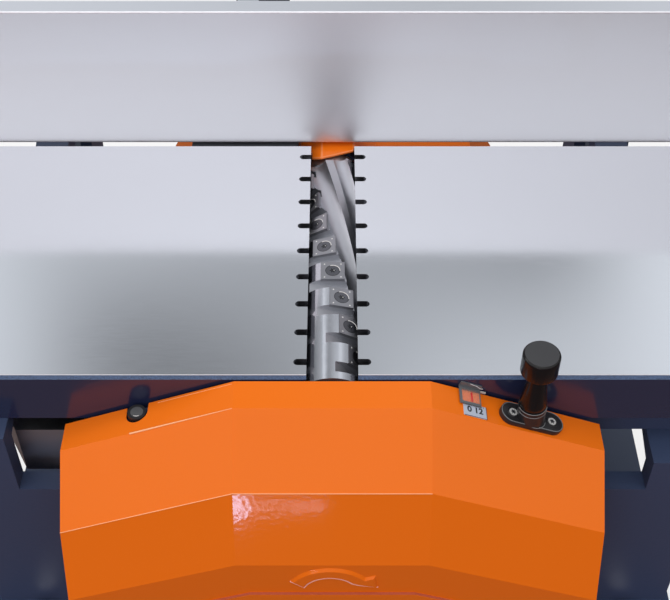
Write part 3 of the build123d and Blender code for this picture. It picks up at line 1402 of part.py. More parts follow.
with BuildPart() as hinge_pins:
    for start_x in (-ARM_OUT - EAR_GAP - EAR_T - PIN_PROUD, ARM_X - EAR_GAP - EAR_T - PIN_PROUD):
        with BuildSketch(along(start_x)):
            with Locations((HINGE_Y, HINGE_Z)):
                Circle(HINGE_PIN)
        extrude(amount=ARM_W + 2 * (EAR_GAP + EAR_T + PIN_PROUD))
finish(hinge_pins, "hinge_pins")

with BuildPart() as table_rests:
    for rest_x, rest_top in ((-ARM_OUT, SKIRT_BOTTOM), (ARM_X, CARRIER_Z)):
        with BuildSketch(along(rest_x)):
            with BuildLine():
                Polyline(
                    (-FRAME_OUT, SHOULDER_Z),
                    (-FRAME_IN, SHOULDER_Z),
                    (-FRAME_IN, rest_top - REST_GAP - REST_TONGUE),
                    (CARRIER_FRONT + ARM_PAD, rest_top - REST_GAP - REST_TONGUE / 2),
                    (CARRIER_FRONT + ARM_PAD, rest_top - REST_GAP),
                    (-FRAME_OUT, rest_top - REST_GAP),
                    close=True,
                )
            make_face()
        extrude(amount=ARM_W)
finish(table_rests, "table_rests")


# Fence: an extrusion on a tilting block, carried by a bar that slides across the outfeed table
with BuildPart() as fence_plate:
    with BuildSketch(along(FENCE_LEFT)):
        with Locations((FENCE_FACE, FENCE_BOTTOM)):
            Rectangle(FENCE_T, FENCE_H, align=(Align.MIN, Align.MIN))
        fillet(vertices(), FENCE_EDGE)
        chamber = (FENCE_H - 4 * FENCE_WALL) / 3
        with Locations((FENCE_FACE + FENCE_T / 2, FENCE_BOTTOM + FENCE_H / 2)):
            with GridLocations(0, chamber + FENCE_WALL, 1, 3):
                Rectangle(FENCE_T - 2 * FENCE_WALL, chamber, mode=Mode.SUBTRACT)
        with Locations((FENCE_BACK, FENCE_BOTTOM + FENCE_H - chamber / 2)):
            Rectangle(3 * FENCE_WALL, FENCE_SLOT, mode=Mode.SUBTRACT)
    extrude(amount=FENCE_RIGHT - FENCE_LEFT)
finish(fence_plate, "fence_plate")

with BuildPart() as fence_end_caps:
    for cap_x in (FENCE_LEFT - FENCE_CAP, FENCE_RIGHT):
        with BuildSketch(along(cap_x)):
            with Locations((FENCE_FACE + FENCE_T / 2, FENCE_BOTTOM + FENCE_H / 2)):
                RectangleRounded(FENCE_T, FENCE_H, FENCE_EDGE)
        extrude(amount=FENCE_CAP)
finish(fence_end_caps, "fence_end_caps")

LUG_LEFT = BAR_X - LUG_HALF
LUG_RIGHT = BAR_X + LUG_HALF
PLATE_LEFT = LUG_LEFT - EAR_W - TOWER_GAP
STAR_LEFT = TOWER_RIGHT + STAR_GAP

with BuildPart() as tilt_block:
    with BuildSketch(across(FENCE_BACK + BACKPLATE_T)):
        with Locations((PLATE_LEFT, TILT_Z - TILT_EYE - FENCE_WALL)):
            Rectangle(TOWER_RIGHT - PLATE_LEFT, 5 * TILT_EYE, align=(Align.MIN, Align.MIN))
    extrude(amount=BACKPLATE_T)
    for ear_x in (LUG_LEFT - EAR_GAP - EAR_W, LUG_RIGHT + EAR_GAP):
        with BuildSketch(along(ear_x)):
            with Locations((TILT_Y, TILT_Z)):
                Circle(TILT_EYE)
            with Locations((FENCE_BACK, TILT_Z)):
                Rectangle(BACKPLATE_T, 2 * TILT_EYE, align=(Align.MIN, Align.CENTER))
            make_hull()
            with Locations((TILT_Y, TILT_Z)):
                Circle(TILT_PIN + RUNNING_FIT, mode=Mode.SUBTRACT)
        extrude(amount=EAR_W)
    with BuildSketch(across(FENCE_BACK + TOWER_DEPTH)):
        with Locations((TOWER_LEFT, FENCE_BOTTOM + FENCE_H)):
            Rectangle(
                TOWER_RIGHT - TOWER_LEFT,
                FENCE_BOTTOM + FENCE_H - TILT_Z - TILT_EYE - TOWER_GAP,
                align=(Align.MIN, Align.MAX),
            )
    extrude(amount=TOWER_DEPTH)
finish(tilt_block, "tilt_block")

with BuildPart() as fence_carriage:
    with BuildSketch(along(LUG_LEFT)):
        with Locations((TILT_Y, TILT_Z)):
            Circle(TILT_EYE - EAR_GAP)
        with Locations((HEAD_BACK, TILT_Z)):
            Rectangle(TILT_EYE, 2 * TILT_EYE, align=(Align.MAX, Align.CENTER))
        make_hull()
    extrude(amount=LUG_RIGHT - LUG_LEFT)
    with BuildSketch(along(LUG_LEFT - EAR_GAP - EAR_W)):
        with Locations((TILT_Y, TILT_Z)):
            Circle(TILT_PIN)
    extrude(amount=STAR_LEFT + STAR_T - LUG_LEFT + EAR_GAP + EAR_W)
    with BuildSketch(across(BAR_END)):
        with Locations((BAR_X, BAR_Z + BAR_H / 2)):
            RectangleRounded(BAR_W, BAR_H, FENCE_WALL)
            RectangleRounded(BAR_W - 2 * FENCE_WALL, BAR_H - 2 * FENCE_WALL, FENCE_EDGE, mode=Mode.SUBTRACT)
    extrude(amount=BAR_END - HEAD_BACK + EAR_GAP)
finish(fence_carriage, "fence_carriage")

BRACKET_TOP = TABLE_Z - BRACKET_DROP
GUIDE_CEILING = BAR_Z + BAR_H + BAR_FIT + GUIDE_WALL

with BuildPart() as fence_bracket:
    with BuildSketch(level(BRACKET_TOP)):
        with Locations((BRACKET_LEFT, HALF_W)):
            Rectangle(BRACKET_RIGHT - BRACKET_LEFT, GUIDE_BACK - HALF_W, align=(Align.MIN, Align.MIN))
        fillet(vertices().group_by(Axis.Y)[-1], CAB_CORNER)
    extrude(amount=-BRACKET_T)
    with BuildSketch(across(GUIDE_BACK)):
        with Locations((BAR_X, BRACKET_TOP)):
            Rectangle(BAR_W + 2 * GUIDE_WALL, GUIDE_CEILING - BRACKET_TOP, align=(Align.CENTER, Align.MIN))
        with Locations((BAR_X, BAR_Z + BAR_H / 2)):
            Rectangle(BAR_W + 2 * BAR_FIT, BAR_H + 2 * BAR_FIT, mode=Mode.SUBTRACT)
    extrude(amount=GUIDE_BACK - GUIDE_FRONT)
finish(fence_bracket, "fence_bracket")

with BuildPart() as fence_lock_lever:
    with BuildSketch(level(GUIDE_CEILING + BAR_FIT)):
        with Locations((BAR_X, LEVER_Y)):
            Circle(LEVER_HUB)
    extrude(amount=2 * LEVER_HUB)
    with BuildSketch(across(LEVER_Y + LEVER_LENGTH)):
        with Locations((BAR_X, GUIDE_CEILING + LEVER_RISE)):
            Circle(LEVER_HUB / 2)
    extrude(amount=LEVER_LENGTH)
    with Locations((BAR_X, LEVER_Y + LEVER_LENGTH, GUIDE_CEILING + LEVER_RISE)):
        Sphere(LEVER_BALL)
finish(fence_lock_lever, "fence_lock_lever")

with BuildPart() as tilt_lock_knob:
    with BuildSketch(along(STAR_LEFT)):
        with Locations((TILT_Y, TILT_Z)):
            Circle(STAR_CORE)
            with PolarLocations(STAR_CORE, STAR_LOBES):
                Circle(STAR_LOBE)
            Circle(TILT_PIN + RUNNING_FIT, mode=Mode.SUBTRACT)
    extrude(amount=STAR_T)
finish(tilt_lock_knob, "tilt_lock_knob")


# Controls on the ledge of the front cover
COLLAR_LEVEL = ledge_z(KNOB_X) + COLLAR_RISE

with BuildPart() as knob_flange:
    with BuildSketch(level(COLLAR_LEVEL)):
        with Locations((KNOB_X, KNOB_Y)):
            Circle(COLLAR_RADIUS)
    extrude(amount=-COLLAR_RISE - COLLAR_RADIUS)
    split(bisect_by=on_ledge(KNOB_X, KNOB_Y), keep=Keep.TOP)
    with BuildSketch(on_ledge(KNOB_X, KNOB_Y)):
        SlotOverall(FLANGE_LENGTH, FLANGE_WIDTH)
    extrude(amount=FLANGE_THICK)
    with BuildSketch(level(COLLAR_LEVEL)):
        with Locations((KNOB_X, KNOB_Y)):
            Circle(KNOB_SHAFT + RUNNING_FIT)
    extrude(amount=-COLLAR_RISE - COLLAR_RADIUS, mode=Mode.SUBTRACT)
finish(knob_flange, "knob_flange")

KNOB_BOTTOM = COLLAR_LEVEL + BLOCK_FIT
KNOB_TOP = KNOB_BOTTOM + KNOB_H
KNOB_END = ledge_z(KNOB_X) - COVER_WALL

with BuildPart() as depth_knob:
    with BuildSketch(Plane(origin=(KNOB_X, KNOB_Y, 0), x_dir=(1, 0, 0), z_dir=(0, -1, 0))):
        with BuildLine():
            Polyline(
                (0, KNOB_TOP),
                (0, KNOB_END),
                (KNOB_SHAFT, KNOB_END),
                (KNOB_SHAFT, KNOB_BOTTOM),
                (KNOB_BASE, KNOB_BOTTOM),
                (KNOB_BASE, KNOB_BOTTOM + KNOB_FOOT),
                (KNOB_NECK, KNOB_TOP - KNOB_CAP_H - KNOB_UNDER),
                (KNOB_CAP, KNOB_TOP - KNOB_CAP_H),
                (KNOB_CAP, KNOB_TOP - KNOB_EDGE),
                (KNOB_CAP - KNOB_EDGE, KNOB_TOP),
                close=True,
            )
        make_face()
    revolve(axis=Axis((KNOB_X, KNOB_Y, 0), (0, 0, 1)))
finish(depth_knob, "depth_knob")

STOP_SEAT = FRONT_TOP - (abs(STOP_X) - BEND + STOP_SLEEVE) * SLOPE

with BuildPart() as stop_bolt_sleeve:
    with BuildSketch(level(ledge_z(STOP_X) + FRAME_CLEAR)):
        with Locations((STOP_X, STOP_Y)):
            Circle(STOP_SLEEVE)
            Circle(STOP_HEAD, mode=Mode.SUBTRACT)
    extrude(amount=STOP_SEAT - ledge_z(STOP_X) - FRAME_CLEAR)
    split(
        bisect_by=Plane(
            origin=(STOP_X, STOP_Y, FRONT_TOP - (abs(STOP_X) - BEND) * SLOPE),
            z_dir=(-sin(radians(SIDE_SLOPE)), 0, cos(radians(SIDE_SLOPE))),
        ),
        keep=Keep.TOP,
    )
finish(stop_bolt_sleeve, "stop_bolt_sleeve")

with BuildPart() as stop_bolt:
    with BuildSketch(level(ledge_z(STOP_X) + FRAME_CLEAR)):
        with Locations((STOP_X, STOP_Y)):
            Circle(STOP_HEAD)
    extrude(amount=-STOP_HEAD_H)
finish(stop_bolt, "stop_bolt")

with BuildPart() as depth_scale:
    with BuildSketch(on_ledge(SCALE_X, SCALE_Y)):
        RectangleRounded(SCALE_W, SCALE_D, SCALE_CORNER)
    extrude(amount=SCALE_T)
finish(depth_scale, "depth_scale")

WINDOW_MID = (POINTER_BAR + (WINDOW_W - POINTER_W) / 2, POINTER_TIP + WINDOW_D / 2 - POINTER_REACH)

with BuildPart() as depth_pointer:
    with BuildSketch(on_ledge(POINTER_X, -HALF_W, POINTER_CLEAR)):
        Rectangle(POINTER_W, POINTER_REACH, align=(Align.CENTER, Align.MAX))
        with Locations(WINDOW_MID):
            Rectangle(WINDOW_W, WINDOW_D, mode=Mode.SUBTRACT)
    extrude(amount=POINTER_T)
    with BuildSketch(on_ledge(POINTER_X, -HALF_W, POINTER_CLEAR)):
        Rectangle(POINTER_W, POINTER_T, align=(Align.CENTER, Align.MAX))
    extrude(amount=POINTER_RISE)
finish(depth_pointer, "depth_pointer")

with BuildPart() as pointer_window:
    with BuildSketch(on_ledge(POINTER_X, -HALF_W, POINTER_CLEAR)):
        with Locations(WINDOW_MID):
            Rectangle(WINDOW_W, WINDOW_D)
    extrude(amount=POINTER_T)
finish(pointer_window, "pointer_window")


# Switch on the cabinet's front, and the supply cable's gland at the back
START_Z = SWITCH_Z + BUTTON_PITCH / 2
STOP_Z = SWITCH_Z - BUTTON_PITCH / 2
SWITCH_FACE = -CAB_Y - SWITCH_D

with BuildPart() as switch_box:
    with BuildSketch(across(-CAB_Y)):
        with Locations((SWITCH_X, SWITCH_Z)):
            RectangleRounded(SWITCH_W, SWITCH_H, CAB_CORNER / 2)
    extrude(amount=SWITCH_D)
    fillet(faces().sort_by(Axis.Y)[0].edges(), COVER_WALL)
    with BuildSketch(across(SWITCH_FACE)):
        with Locations((SWITCH_X, START_Z), (SWITCH_X, STOP_Z)):
            Circle(BUTTON_RADIUS + BUTTON_FIT)
    extrude(amount=-BUTTON_DEPTH, mode=Mode.SUBTRACT)
finish(switch_box, "switch_box")

BUTTON_LENGTH = BUTTON_PROUD + BUTTON_DEPTH / 2

with BuildPart() as start_button:
    with BuildSketch(across(SWITCH_FACE - BUTTON_PROUD)):
        with Locations((SWITCH_X, START_Z)):
            Circle(BUTTON_RADIUS)
    extrude(amount=-BUTTON_LENGTH)
    fillet(faces().sort_by(Axis.Y)[0].edges(), BUTTON_ROUND)
finish(start_button, "start_button")

with BuildPart() as stop_button:
    with BuildSketch(across(SWITCH_FACE - BUTTON_PROUD)):
        with Locations((SWITCH_X, STOP_Z)):
            Circle(BUTTON_RADIUS)
    extrude(amount=-BUTTON_LENGTH)
    with BuildSketch(across(SWITCH_FACE - BUTTON_PROUD)):
        with Locations((SWITCH_X, STOP_Z)):
            Circle(STOP_CAP)
    extrude(amount=BUTTON_PROUD)
    fillet(faces().sort_by(Axis.Y)[0].edges(), STOP_ROUND)
finish(stop_button, "stop_button")

with BuildPart() as cable_gland:
    with BuildSketch(across(CAB_Y)):
        with Locations((GLAND_X, GLAND_Z)):
            RegularPolygon(GLAND_HEX, 6)
    extrude(amount=-GLAND_LENGTH / 3)
    with BuildSketch(across(CAB_Y + GLAND_LENGTH / 3)):
        with Locations((GLAND_X, GLAND_Z)):
            Circle(GLAND_NUT)
    extrude(amount=-GLAND_LENGTH * 2 / 3, taper=GLAND_TAPER)
    with BuildSketch(across(CAB_Y + GLAND_LENGTH)):
        with Locations((GLAND_X, GLAND_Z)):
            Circle(GLAND_HEX / 2)
    extrude(amount=GLAND_LENGTH * 2 / 3, mode=Mode.SUBTRACT)
finish(cable_gland, "cable_gland")
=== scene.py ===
import json
from math import ceil, cos, floor, pi, radians, sin, tan

import bmesh
import bpy
from mathutils import Matrix, Vector


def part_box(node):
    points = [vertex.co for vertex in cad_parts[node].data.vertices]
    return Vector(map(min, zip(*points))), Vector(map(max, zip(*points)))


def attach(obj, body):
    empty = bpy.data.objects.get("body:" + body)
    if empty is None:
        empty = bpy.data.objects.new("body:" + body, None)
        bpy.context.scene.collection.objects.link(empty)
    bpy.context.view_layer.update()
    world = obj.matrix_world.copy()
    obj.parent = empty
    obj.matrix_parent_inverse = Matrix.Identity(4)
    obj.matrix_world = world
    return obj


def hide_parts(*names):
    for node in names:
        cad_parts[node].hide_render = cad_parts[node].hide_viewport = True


# Looks for the planer thicknesser. Sizes are in metres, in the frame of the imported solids.

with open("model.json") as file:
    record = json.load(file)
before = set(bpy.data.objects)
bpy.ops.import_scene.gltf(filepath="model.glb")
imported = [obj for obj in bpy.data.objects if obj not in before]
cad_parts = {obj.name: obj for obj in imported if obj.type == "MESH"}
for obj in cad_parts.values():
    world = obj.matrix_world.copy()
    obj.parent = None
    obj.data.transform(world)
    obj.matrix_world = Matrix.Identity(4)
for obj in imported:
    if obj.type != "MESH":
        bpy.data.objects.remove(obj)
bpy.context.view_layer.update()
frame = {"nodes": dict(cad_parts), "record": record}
nodes = frame["nodes"]
bodies = frame["record"]["behaviour"]["bodies"]
body_of_node = {node: body for body, members in bodies.items() for node in members}
MM = 0.001

# Camera. The edges of the throat give the vanishing point; round screw heads, the lean of the knob and
# a usual fence height settle the pitch.
CAMERA_AT = (0.0023, -0.8096, 1.642)
CAMERA_PITCH = 44.0  # degrees up from straight down
CAMERA_LENS = 64.2
SENSOR = 36.0

# Places taken from the frame
TABLE_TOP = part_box("infeed_table")[1].z
BLOCK_AXIS_Z = (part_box("cutterblock")[0].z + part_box("cutterblock")[1].z) / 2
BLOCK_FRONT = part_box("infeed_table")[0].y
LEDGE_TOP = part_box("front_cover")[1].z
FACE_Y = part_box("front_cover")[0].y
KNOB_LOW, KNOB_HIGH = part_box("depth_knob")
SCALE_LOW, SCALE_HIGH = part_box("depth_scale")
WINDOW_LOW, WINDOW_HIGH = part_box("pointer_window")
POINTER_LOW, POINTER_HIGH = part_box("depth_pointer")

# Cutterblock rows, as on the solid block
CUT_RADIUS = 36 * MM
TWIST = 0.409  # degrees per millimetre
TWIST_START = 20.0 * MM
INSERT_START = -24.4 * MM
INSERT_PITCH = 33.5 * MM
INSERT_MARGIN = 2 * MM
BLOCK_SHORT = 14.5 * MM
ROWS = 2
INSERT_LEAN = 18.6
INSERT_WIDTH = 22 * MM
INSERT_LENGTH = 22 * MM
SCREW_HEAD = 6.75 * MM

# Front cover, as on the solid
SIDE_SLOPE = radians(21)
BEND = 83 * MM
COVER_X = 235 * MM
LEDGE = 29.3 * MM
BROW_OUT = 51.1 * MM
BROW_FALL = 49 * MM
CHEEK_OUT = 25 * MM
BAND_PROUD = 2.5 * MM


def srgb(red, green, blue):
    """Linear colour from 8 bit screen values."""
    shares = [value / 255 for value in (red, green, blue)]
    return (*(((share + 0.055) / 1.055) ** 2.4 if share > 0.04 else share / 12.92 for share in shares), 1)


# Materials
NOISE_SPAN = (0.3, 0.7)  # where nearly all of a noise's values lie
PEEL_SCALE = 260
COAT_ROUGHNESS = 0.06
PAINT_DEPTH = 0.5 * MM
SPECKLE_SCALE = 1600
SPECKLE_DEPTH = 0.4 * MM
METAL_DETAIL = 4.0
METAL_DEPTH = 0.2 * MM


def new_material(name):
    """A material with its shader, node tree and links."""
    material = bpy.data.materials.new(name)
    material.use_nodes = True
    tree = material.node_tree
    return material, tree.nodes["Principled BSDF"], tree.nodes, tree.links


def object_noise(tree_nodes, links, scale, stretch=(1, 1, 1), detail=2.0):
    """Noise in the object's own coordinates, stretched along its axes."""
    coordinates = tree_nodes.new("ShaderNodeTexCoord")
    mapping = tree_nodes.new("ShaderNodeMapping")
    mapping.inputs["Scale"].default_value = stretch
    noise = tree_nodes.new("ShaderNodeTexNoise")
    noise.inputs["Scale"].default_value = scale
    noise.inputs["Detail"].default_value = detail
    links.new(coordinates.outputs["Object"], mapping.inputs["Vector"])
    links.new(mapping.outputs["Vector"], noise.inputs["Vector"])
    return noise.outputs["Fac"]


def spread(tree_nodes, links, value, low, high):
    """Maps a noise value onto a range."""
    ramp = tree_nodes.new("ShaderNodeMapRange")
    ramp.inputs["From Min"].default_value = NOISE_SPAN[0]
    ramp.inputs["From Max"].default_value = NOISE_SPAN[1]
    ramp.inputs["To Min"].default_value = low
    ramp.inputs["To Max"].default_value = high
    links.new(value, ramp.inputs["Value"])
    return ramp.outputs["Result"]


def add_bump(tree_nodes, links, height, strength, distance, socket):
    """Fine relief from a noise value, on the surface or in its clear coat."""
    bump = tree_nodes.new("ShaderNodeBump")
    bump.inputs["Strength"].default_value = strength
    bump.inputs["Distance"].default_value = distance
    links.new(height, bump.inputs["Height"])
    links.new(bump.outputs["Normal"], socket)


def paint(name, colour, roughness=0.35, coat=0.0, grain=0.0, grain_scale=400, shine=0.5, peel=0.0):
    """Paint or plastic, with an optional clear coat, a grainy relief and a peel in the coat."""
    material, shader, tree_nodes, links = new_material(name)
    shader.inputs["Base Color"].default_value = colour
    shader.inputs["Roughness"].default_value = roughness
    shader.inputs["Specular IOR Level"].default_value = shine
    shader.inputs["Coat Weight"].default_value = coat
    shader.inputs["Coat Roughness"].default_value = COAT_ROUGHNESS
    if grain:
        height = object_noise(tree_nodes, links, grain_scale)
        add_bump(tree_nodes, links, height, grain, PAINT_DEPTH, shader.inputs["Normal"])
    if peel:
        coat_height = object_noise(tree_nodes, links, PEEL_SCALE, detail=0.0)
        add_bump(tree_nodes, links, coat_height, peel, PAINT_DEPTH, shader.inputs["Coat Normal"])
    return material


def speckled(name, dark, pale, roughness=0.45, relief=0.4):
    """Rough paint whose colour sparkles from grain to grain."""
    material, shader, tree_nodes, links = new_material(name)
    grain = object_noise(tree_nodes, links, SPECKLE_SCALE)
    tint = tree_nodes.new("ShaderNodeMix")
    tint.data_type = "RGBA"
    tint.inputs["A"].default_value = dark
    tint.inputs["B"].default_value = pale
    links.new(spread(tree_nodes, links, grain, 0, 1), tint.inputs["Factor"])
    links.new(tint.outputs["Result"], shader.inputs["Base Color"])
    shader.inputs["Roughness"].default_value = roughness
    add_bump(tree_nodes, links, grain, relief, SPECKLE_DEPTH, shader.inputs["Normal"])
    return material


def metal(name, colour, low, high, stretch=(1, 1, 1), scale=60, relief=0.0):
    """Bare metal whose roughness varies with its machining marks."""
    material, shader, tree_nodes, links = new_material(name)
    shader.inputs["Base Color"].default_value = colour
    shader.inputs["Metallic"].default_value = 1.0
    noise = object_noise(tree_nodes, links, scale, stretch, METAL_DETAIL)
    links.new(spread(tree_nodes, links, noise, low, high), shader.inputs["Roughness"])
    if relief:
        add_bump(tree_nodes, links, noise, relief, METAL_DEPTH, shader.inputs["Normal"])
    return material


def clear(name, colour, density, roughness=0.2):
    """Thin clear plastic, a little milky."""
    material, shader, _, _ = new_material(name)
    shader.inputs["Base Color"].default_value = colour
    shader.inputs["Roughness"].default_value = roughness
    shader.inputs["Alpha"].default_value = density
    return material


ORANGE = paint(
    "orange_paint", srgb(240, 116, 18), 0.4, coat=0.35, grain=0.1, grain_scale=700, shine=0.06, peel=0.06
)
# Painted highlight: a paler orange with a glossier coat for rounded edges; the paler colour stands for light
# on the edges
ORANGE_EDGE_HIGHLIGHT = paint("orange_edge_painted_highlight", srgb(242, 136, 70), 0.35, coat=0.6, shine=0.2)
GROUND = metal("ground_table", srgb(218, 221, 226), 0.1, 0.15, (2, 60, 60), 24, 0.002)
NAVY = paint("navy_paint", srgb(34, 42, 72), 0.2, coat=0.5, grain=0.04, grain_scale=700)
RIM = speckled("table_rim_paint", srgb(12, 24, 50), srgb(86, 116, 158))
LIP_DARK = metal("lip_edge", srgb(120, 122, 128), 0.35, 0.5)
CABINET = paint("cabinet_paint", srgb(58, 74, 106), 0.4, coat=0.2, grain=0.15, grain_scale=600)
FRAME_PAINT = paint("frame_paint", srgb(54, 68, 98), 0.45, grain=0.2, grain_scale=300)
STEEL = metal("turned_steel", srgb(214, 216, 220), 0.2, 0.32, (1, 60, 1), 20)
BLOCK_STEEL = metal("block_steel", srgb(206, 208, 214), 0.14, 0.22, (25, 0.3, 25), 8, 0.25)
GULLET_STEEL = metal("gullet_steel", srgb(188, 190, 196), 0.38, 0.48, (20, 1, 20), 8)
CARBIDE = metal("carbide", srgb(158, 159, 164), 0.34, 0.46)
ALUMINIUM = metal("anodised_aluminium", srgb(231, 234, 240), 0.42, 0.46, (2, 60, 60), 24, 0.001)
DARK_METAL = paint("dark_metal", srgb(70, 73, 80), 0.45)
# Black plastic for the small black parts, also used for painted shade round the flange screws
BLACK_PLASTIC_AND_SHADE = paint("black_plastic", srgb(34, 34, 37), 0.38, grain=0.1, grain_scale=500)
KNOB_BLACK = paint(
    "knob_plastic", srgb(15, 15, 17), 0.26, coat=0.12, grain=0.08, grain_scale=500, shine=0.25
)
# Painted light: the knob's matte, grainy top is painted a lighter grey than its black sides, for the light
# falling on it
KNOB_TOP_MATTE_LIT = paint("knob_top_painted_light", srgb(54, 55, 58), 0.5, grain=0.3, grain_scale=900)
GREY_PLASTIC = paint("grey_plastic", srgb(142, 146, 152), 0.4)
POINTER_GREY = paint("pointer_grey", srgb(98, 102, 106), 0.35, grain=0.5, grain_scale=250)
CLEAR = clear("clear_plastic", (1.0, 0.7, 0.62, 1), 0.12)
RUBBER = paint("rubber", srgb(26, 26, 27), 0.7)
GREEN = paint("green_button", srgb(30, 130, 60), 0.3)
RED = paint("red_button", srgb(196, 30, 26), 0.3)
ZINC = metal("zinc_sheet", srgb(186, 190, 196), 0.3, 0.45, scale=30)
LABEL = paint("label_plate", srgb(184, 193, 210), 0.4, grain=0.2, grain_scale=900)
# Dark paint for the scale's print, and for painted shade in screw sockets, round screw heads and along the
# scale's border
INK_AND_SHADE = paint("ink_and_painted_shade", srgb(30, 32, 38), 0.5)
HAIRLINE = paint("hairline_red", srgb(214, 30, 40), 0.4)
# Pale paint for the painted highlight along the lower edge of the cover's arrow
ARROW_HIGHLIGHT_PALE = paint("arrow_painted_highlight", srgb(255, 205, 192), 0.4)
# Pale paint for the painted highlights along the cover's creases
CREASE_HIGHLIGHT_PALE = paint("crease_edge", srgb(255, 190, 140), 0.4)
# Painted shade and sheen: a darker, pinker orange for the up-facing tops of the cover's raised band
BAND_TOP_SHADE_AND_SHEEN = paint("band_top_painted_shade_and_sheen", srgb(186, 96, 70), 0.5, shine=0.1)
SCREW_STEEL = paint("screw_zinc", srgb(196, 197, 196), 0.3, grain=0.3, grain_scale=900)
BOLT_GREY = paint("bolt_grey", srgb(84, 86, 88), 0.4, grain=0.2, grain_scale=700)
SCREW_HEAD_GREY = metal("screw_head", srgb(108, 109, 114), 0.3, 0.4)
# Pale paint for painted highlights: glints on the insert corners, screw heads, screw sockets and the stop
# bolt
HIGHLIGHT_PALE = paint("painted_highlight_pale", srgb(228, 228, 226), 0.4)
# Grey paint for painted highlights on the edges of the knob's boss and flange
EDGE_HIGHLIGHT_GREY = paint("edge_painted_highlight_grey", srgb(128, 130, 132), 0.35)
# Pale paint for painted highlights along the tables' front edges and the pointer's fold
EDGE_HIGHLIGHT_STEEL = paint("edge_painted_highlight_steel", srgb(214, 216, 220), 0.4)

# Finish of each solid
finishes = (
    (ORANGE, ("front_cover", "rear_cover", "rear_bearing_cap")),
    (CABINET, ("base_cabinet",)),
    (
        FRAME_PAINT,
        (
            "front_frame",
            "rear_frame",
            "table_rests",
            "hinge_brackets",
            "column_guide",
            "lift_gearbox",
            "outfeed_hinge_arm",
            "infeed_carrier",
        ),
    ),
    (
        STEEL,
        (
            "frame_bolts",
            "front_cutter_bearing",
            "rear_cutter_bearing",
            "finger_shaft",
            "chute_rails",
            "hinge_pins",
            "cutter_pulley",
            "motor_pulley",
            "serrated_roller_blocks",
            "serrated_feed_roller",
            "smooth_roller_blocks",
            "smooth_feed_roller",
            "feed_drive_sprocket",
            "kickback_fingers",
            "lift_screw",
            "lift_column",
            "fence_carriage",
        ),
    ),
    (BLOCK_STEEL, ("cutterblock",)),
    (CARBIDE, ("carbide_inserts",)),
    (SCREW_HEAD_GREY, ("insert_screws",)),
    (ALUMINIUM, ("fence_plate",)),
    (
        DARK_METAL,
        (
            "service_panel",
            "motor",
            "feed_gearmotor",
            "feed_chains",
            "handwheel",
            "fence_bracket",
            "tilt_block",
        ),
    ),
    (
        BLACK_PLASTIC_AND_SHADE,
        (
            "cable_gland",
            "knob_flange",
            "stop_bolt_sleeve",
            "crank_knob",
            "fence_end_caps",
            "fence_lock_lever",
            "tilt_lock_knob",
        ),
    ),
    (KNOB_BLACK, ("depth_knob",)),
    (BOLT_GREY, ("stop_bolt",)),
    (GREY_PLASTIC, ("switch_box",)),
    (POINTER_GREY, ("depth_pointer",)),
    (CLEAR, ("pointer_window",)),
    (RUBBER, ("drive_belt",)),
    (GREEN, ("start_button",)),
    (RED, ("stop_button",)),
    (ZINC, ("chip_chute",)),
    (LABEL, ("depth_scale",)),
    (NAVY, ("infeed_table", "outfeed_table")),
    (GROUND, ("thickness_table",)),
)


def dress(mesh, material):
    """One material on a whole mesh."""
    mesh.materials.clear()
    mesh.materials.append(material)


SHARP = radians(30)


def smooth(mesh):
    """Smooth shading that keeps sharp edges."""
    mesh.shade_smooth()
    mesh.set_sharp_from_angle(angle=SHARP)


for material, names in finishes:
    for name in names:
        dress(nodes[name].data, material)
        smooth(nodes[name].data)


UPRIGHT = 0.99  # Z of the normal from which a face counts as level
LEANING = 0.3  # share of the normal along an axis from which a face leans that way
TOP_DEPTH = 0.5 * MM
RIM_DEPTH = 5 * MM
LIP_REACH = 36 * MM


def paint_table(name):
    """A table's ground top, painted rim and bare lip."""
    mesh = nodes[name].data
    for material in (GROUND, RIM, LIP_DARK):
        mesh.materials.append(material)
    for face in mesh.polygons:
        leans = LEANING < face.normal.z < UPRIGHT and abs(face.normal.y) > LEANING
        if face.normal.z > UPRIGHT and face.center.z > TABLE_TOP - TOP_DEPTH:
            face.material_index = 1
        elif leans and face.center.z > TABLE_TOP - RIM_DEPTH:
            face.material_index = 2
        elif abs(face.center.x) < LIP_REACH:
            face.material_index = 3


for name in ("infeed_table", "outfeed_table"):
    paint_table(name)

GULLET_RADIUS = 34.4 * MM  # faces of the block nearer its axis than this are rough
block_mesh = nodes["cutterblock"].data
block_mesh.materials.append(GULLET_STEEL)
for face in block_mesh.polygons:
    if Vector((face.center.x, face.center.z - BLOCK_AXIS_Z)).length < GULLET_RADIUS:
        face.material_index = 1


# Pieces that stand for a solid with softened edges
def add_object(name, mesh, body, material):
    """Links a new mesh as a piece that rides on a body."""
    piece = bpy.data.objects.new(name, mesh)
    bpy.context.scene.collection.objects.link(piece)
    if material:
        dress(mesh, material)
    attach(piece, body)
    return piece


WELD = 0.01 * MM
LEVEL_ANGLE = radians(1)
BEVEL_STEPS = 3
BAND_UP = 0.9
BAND_SLACK = 0.1 * MM


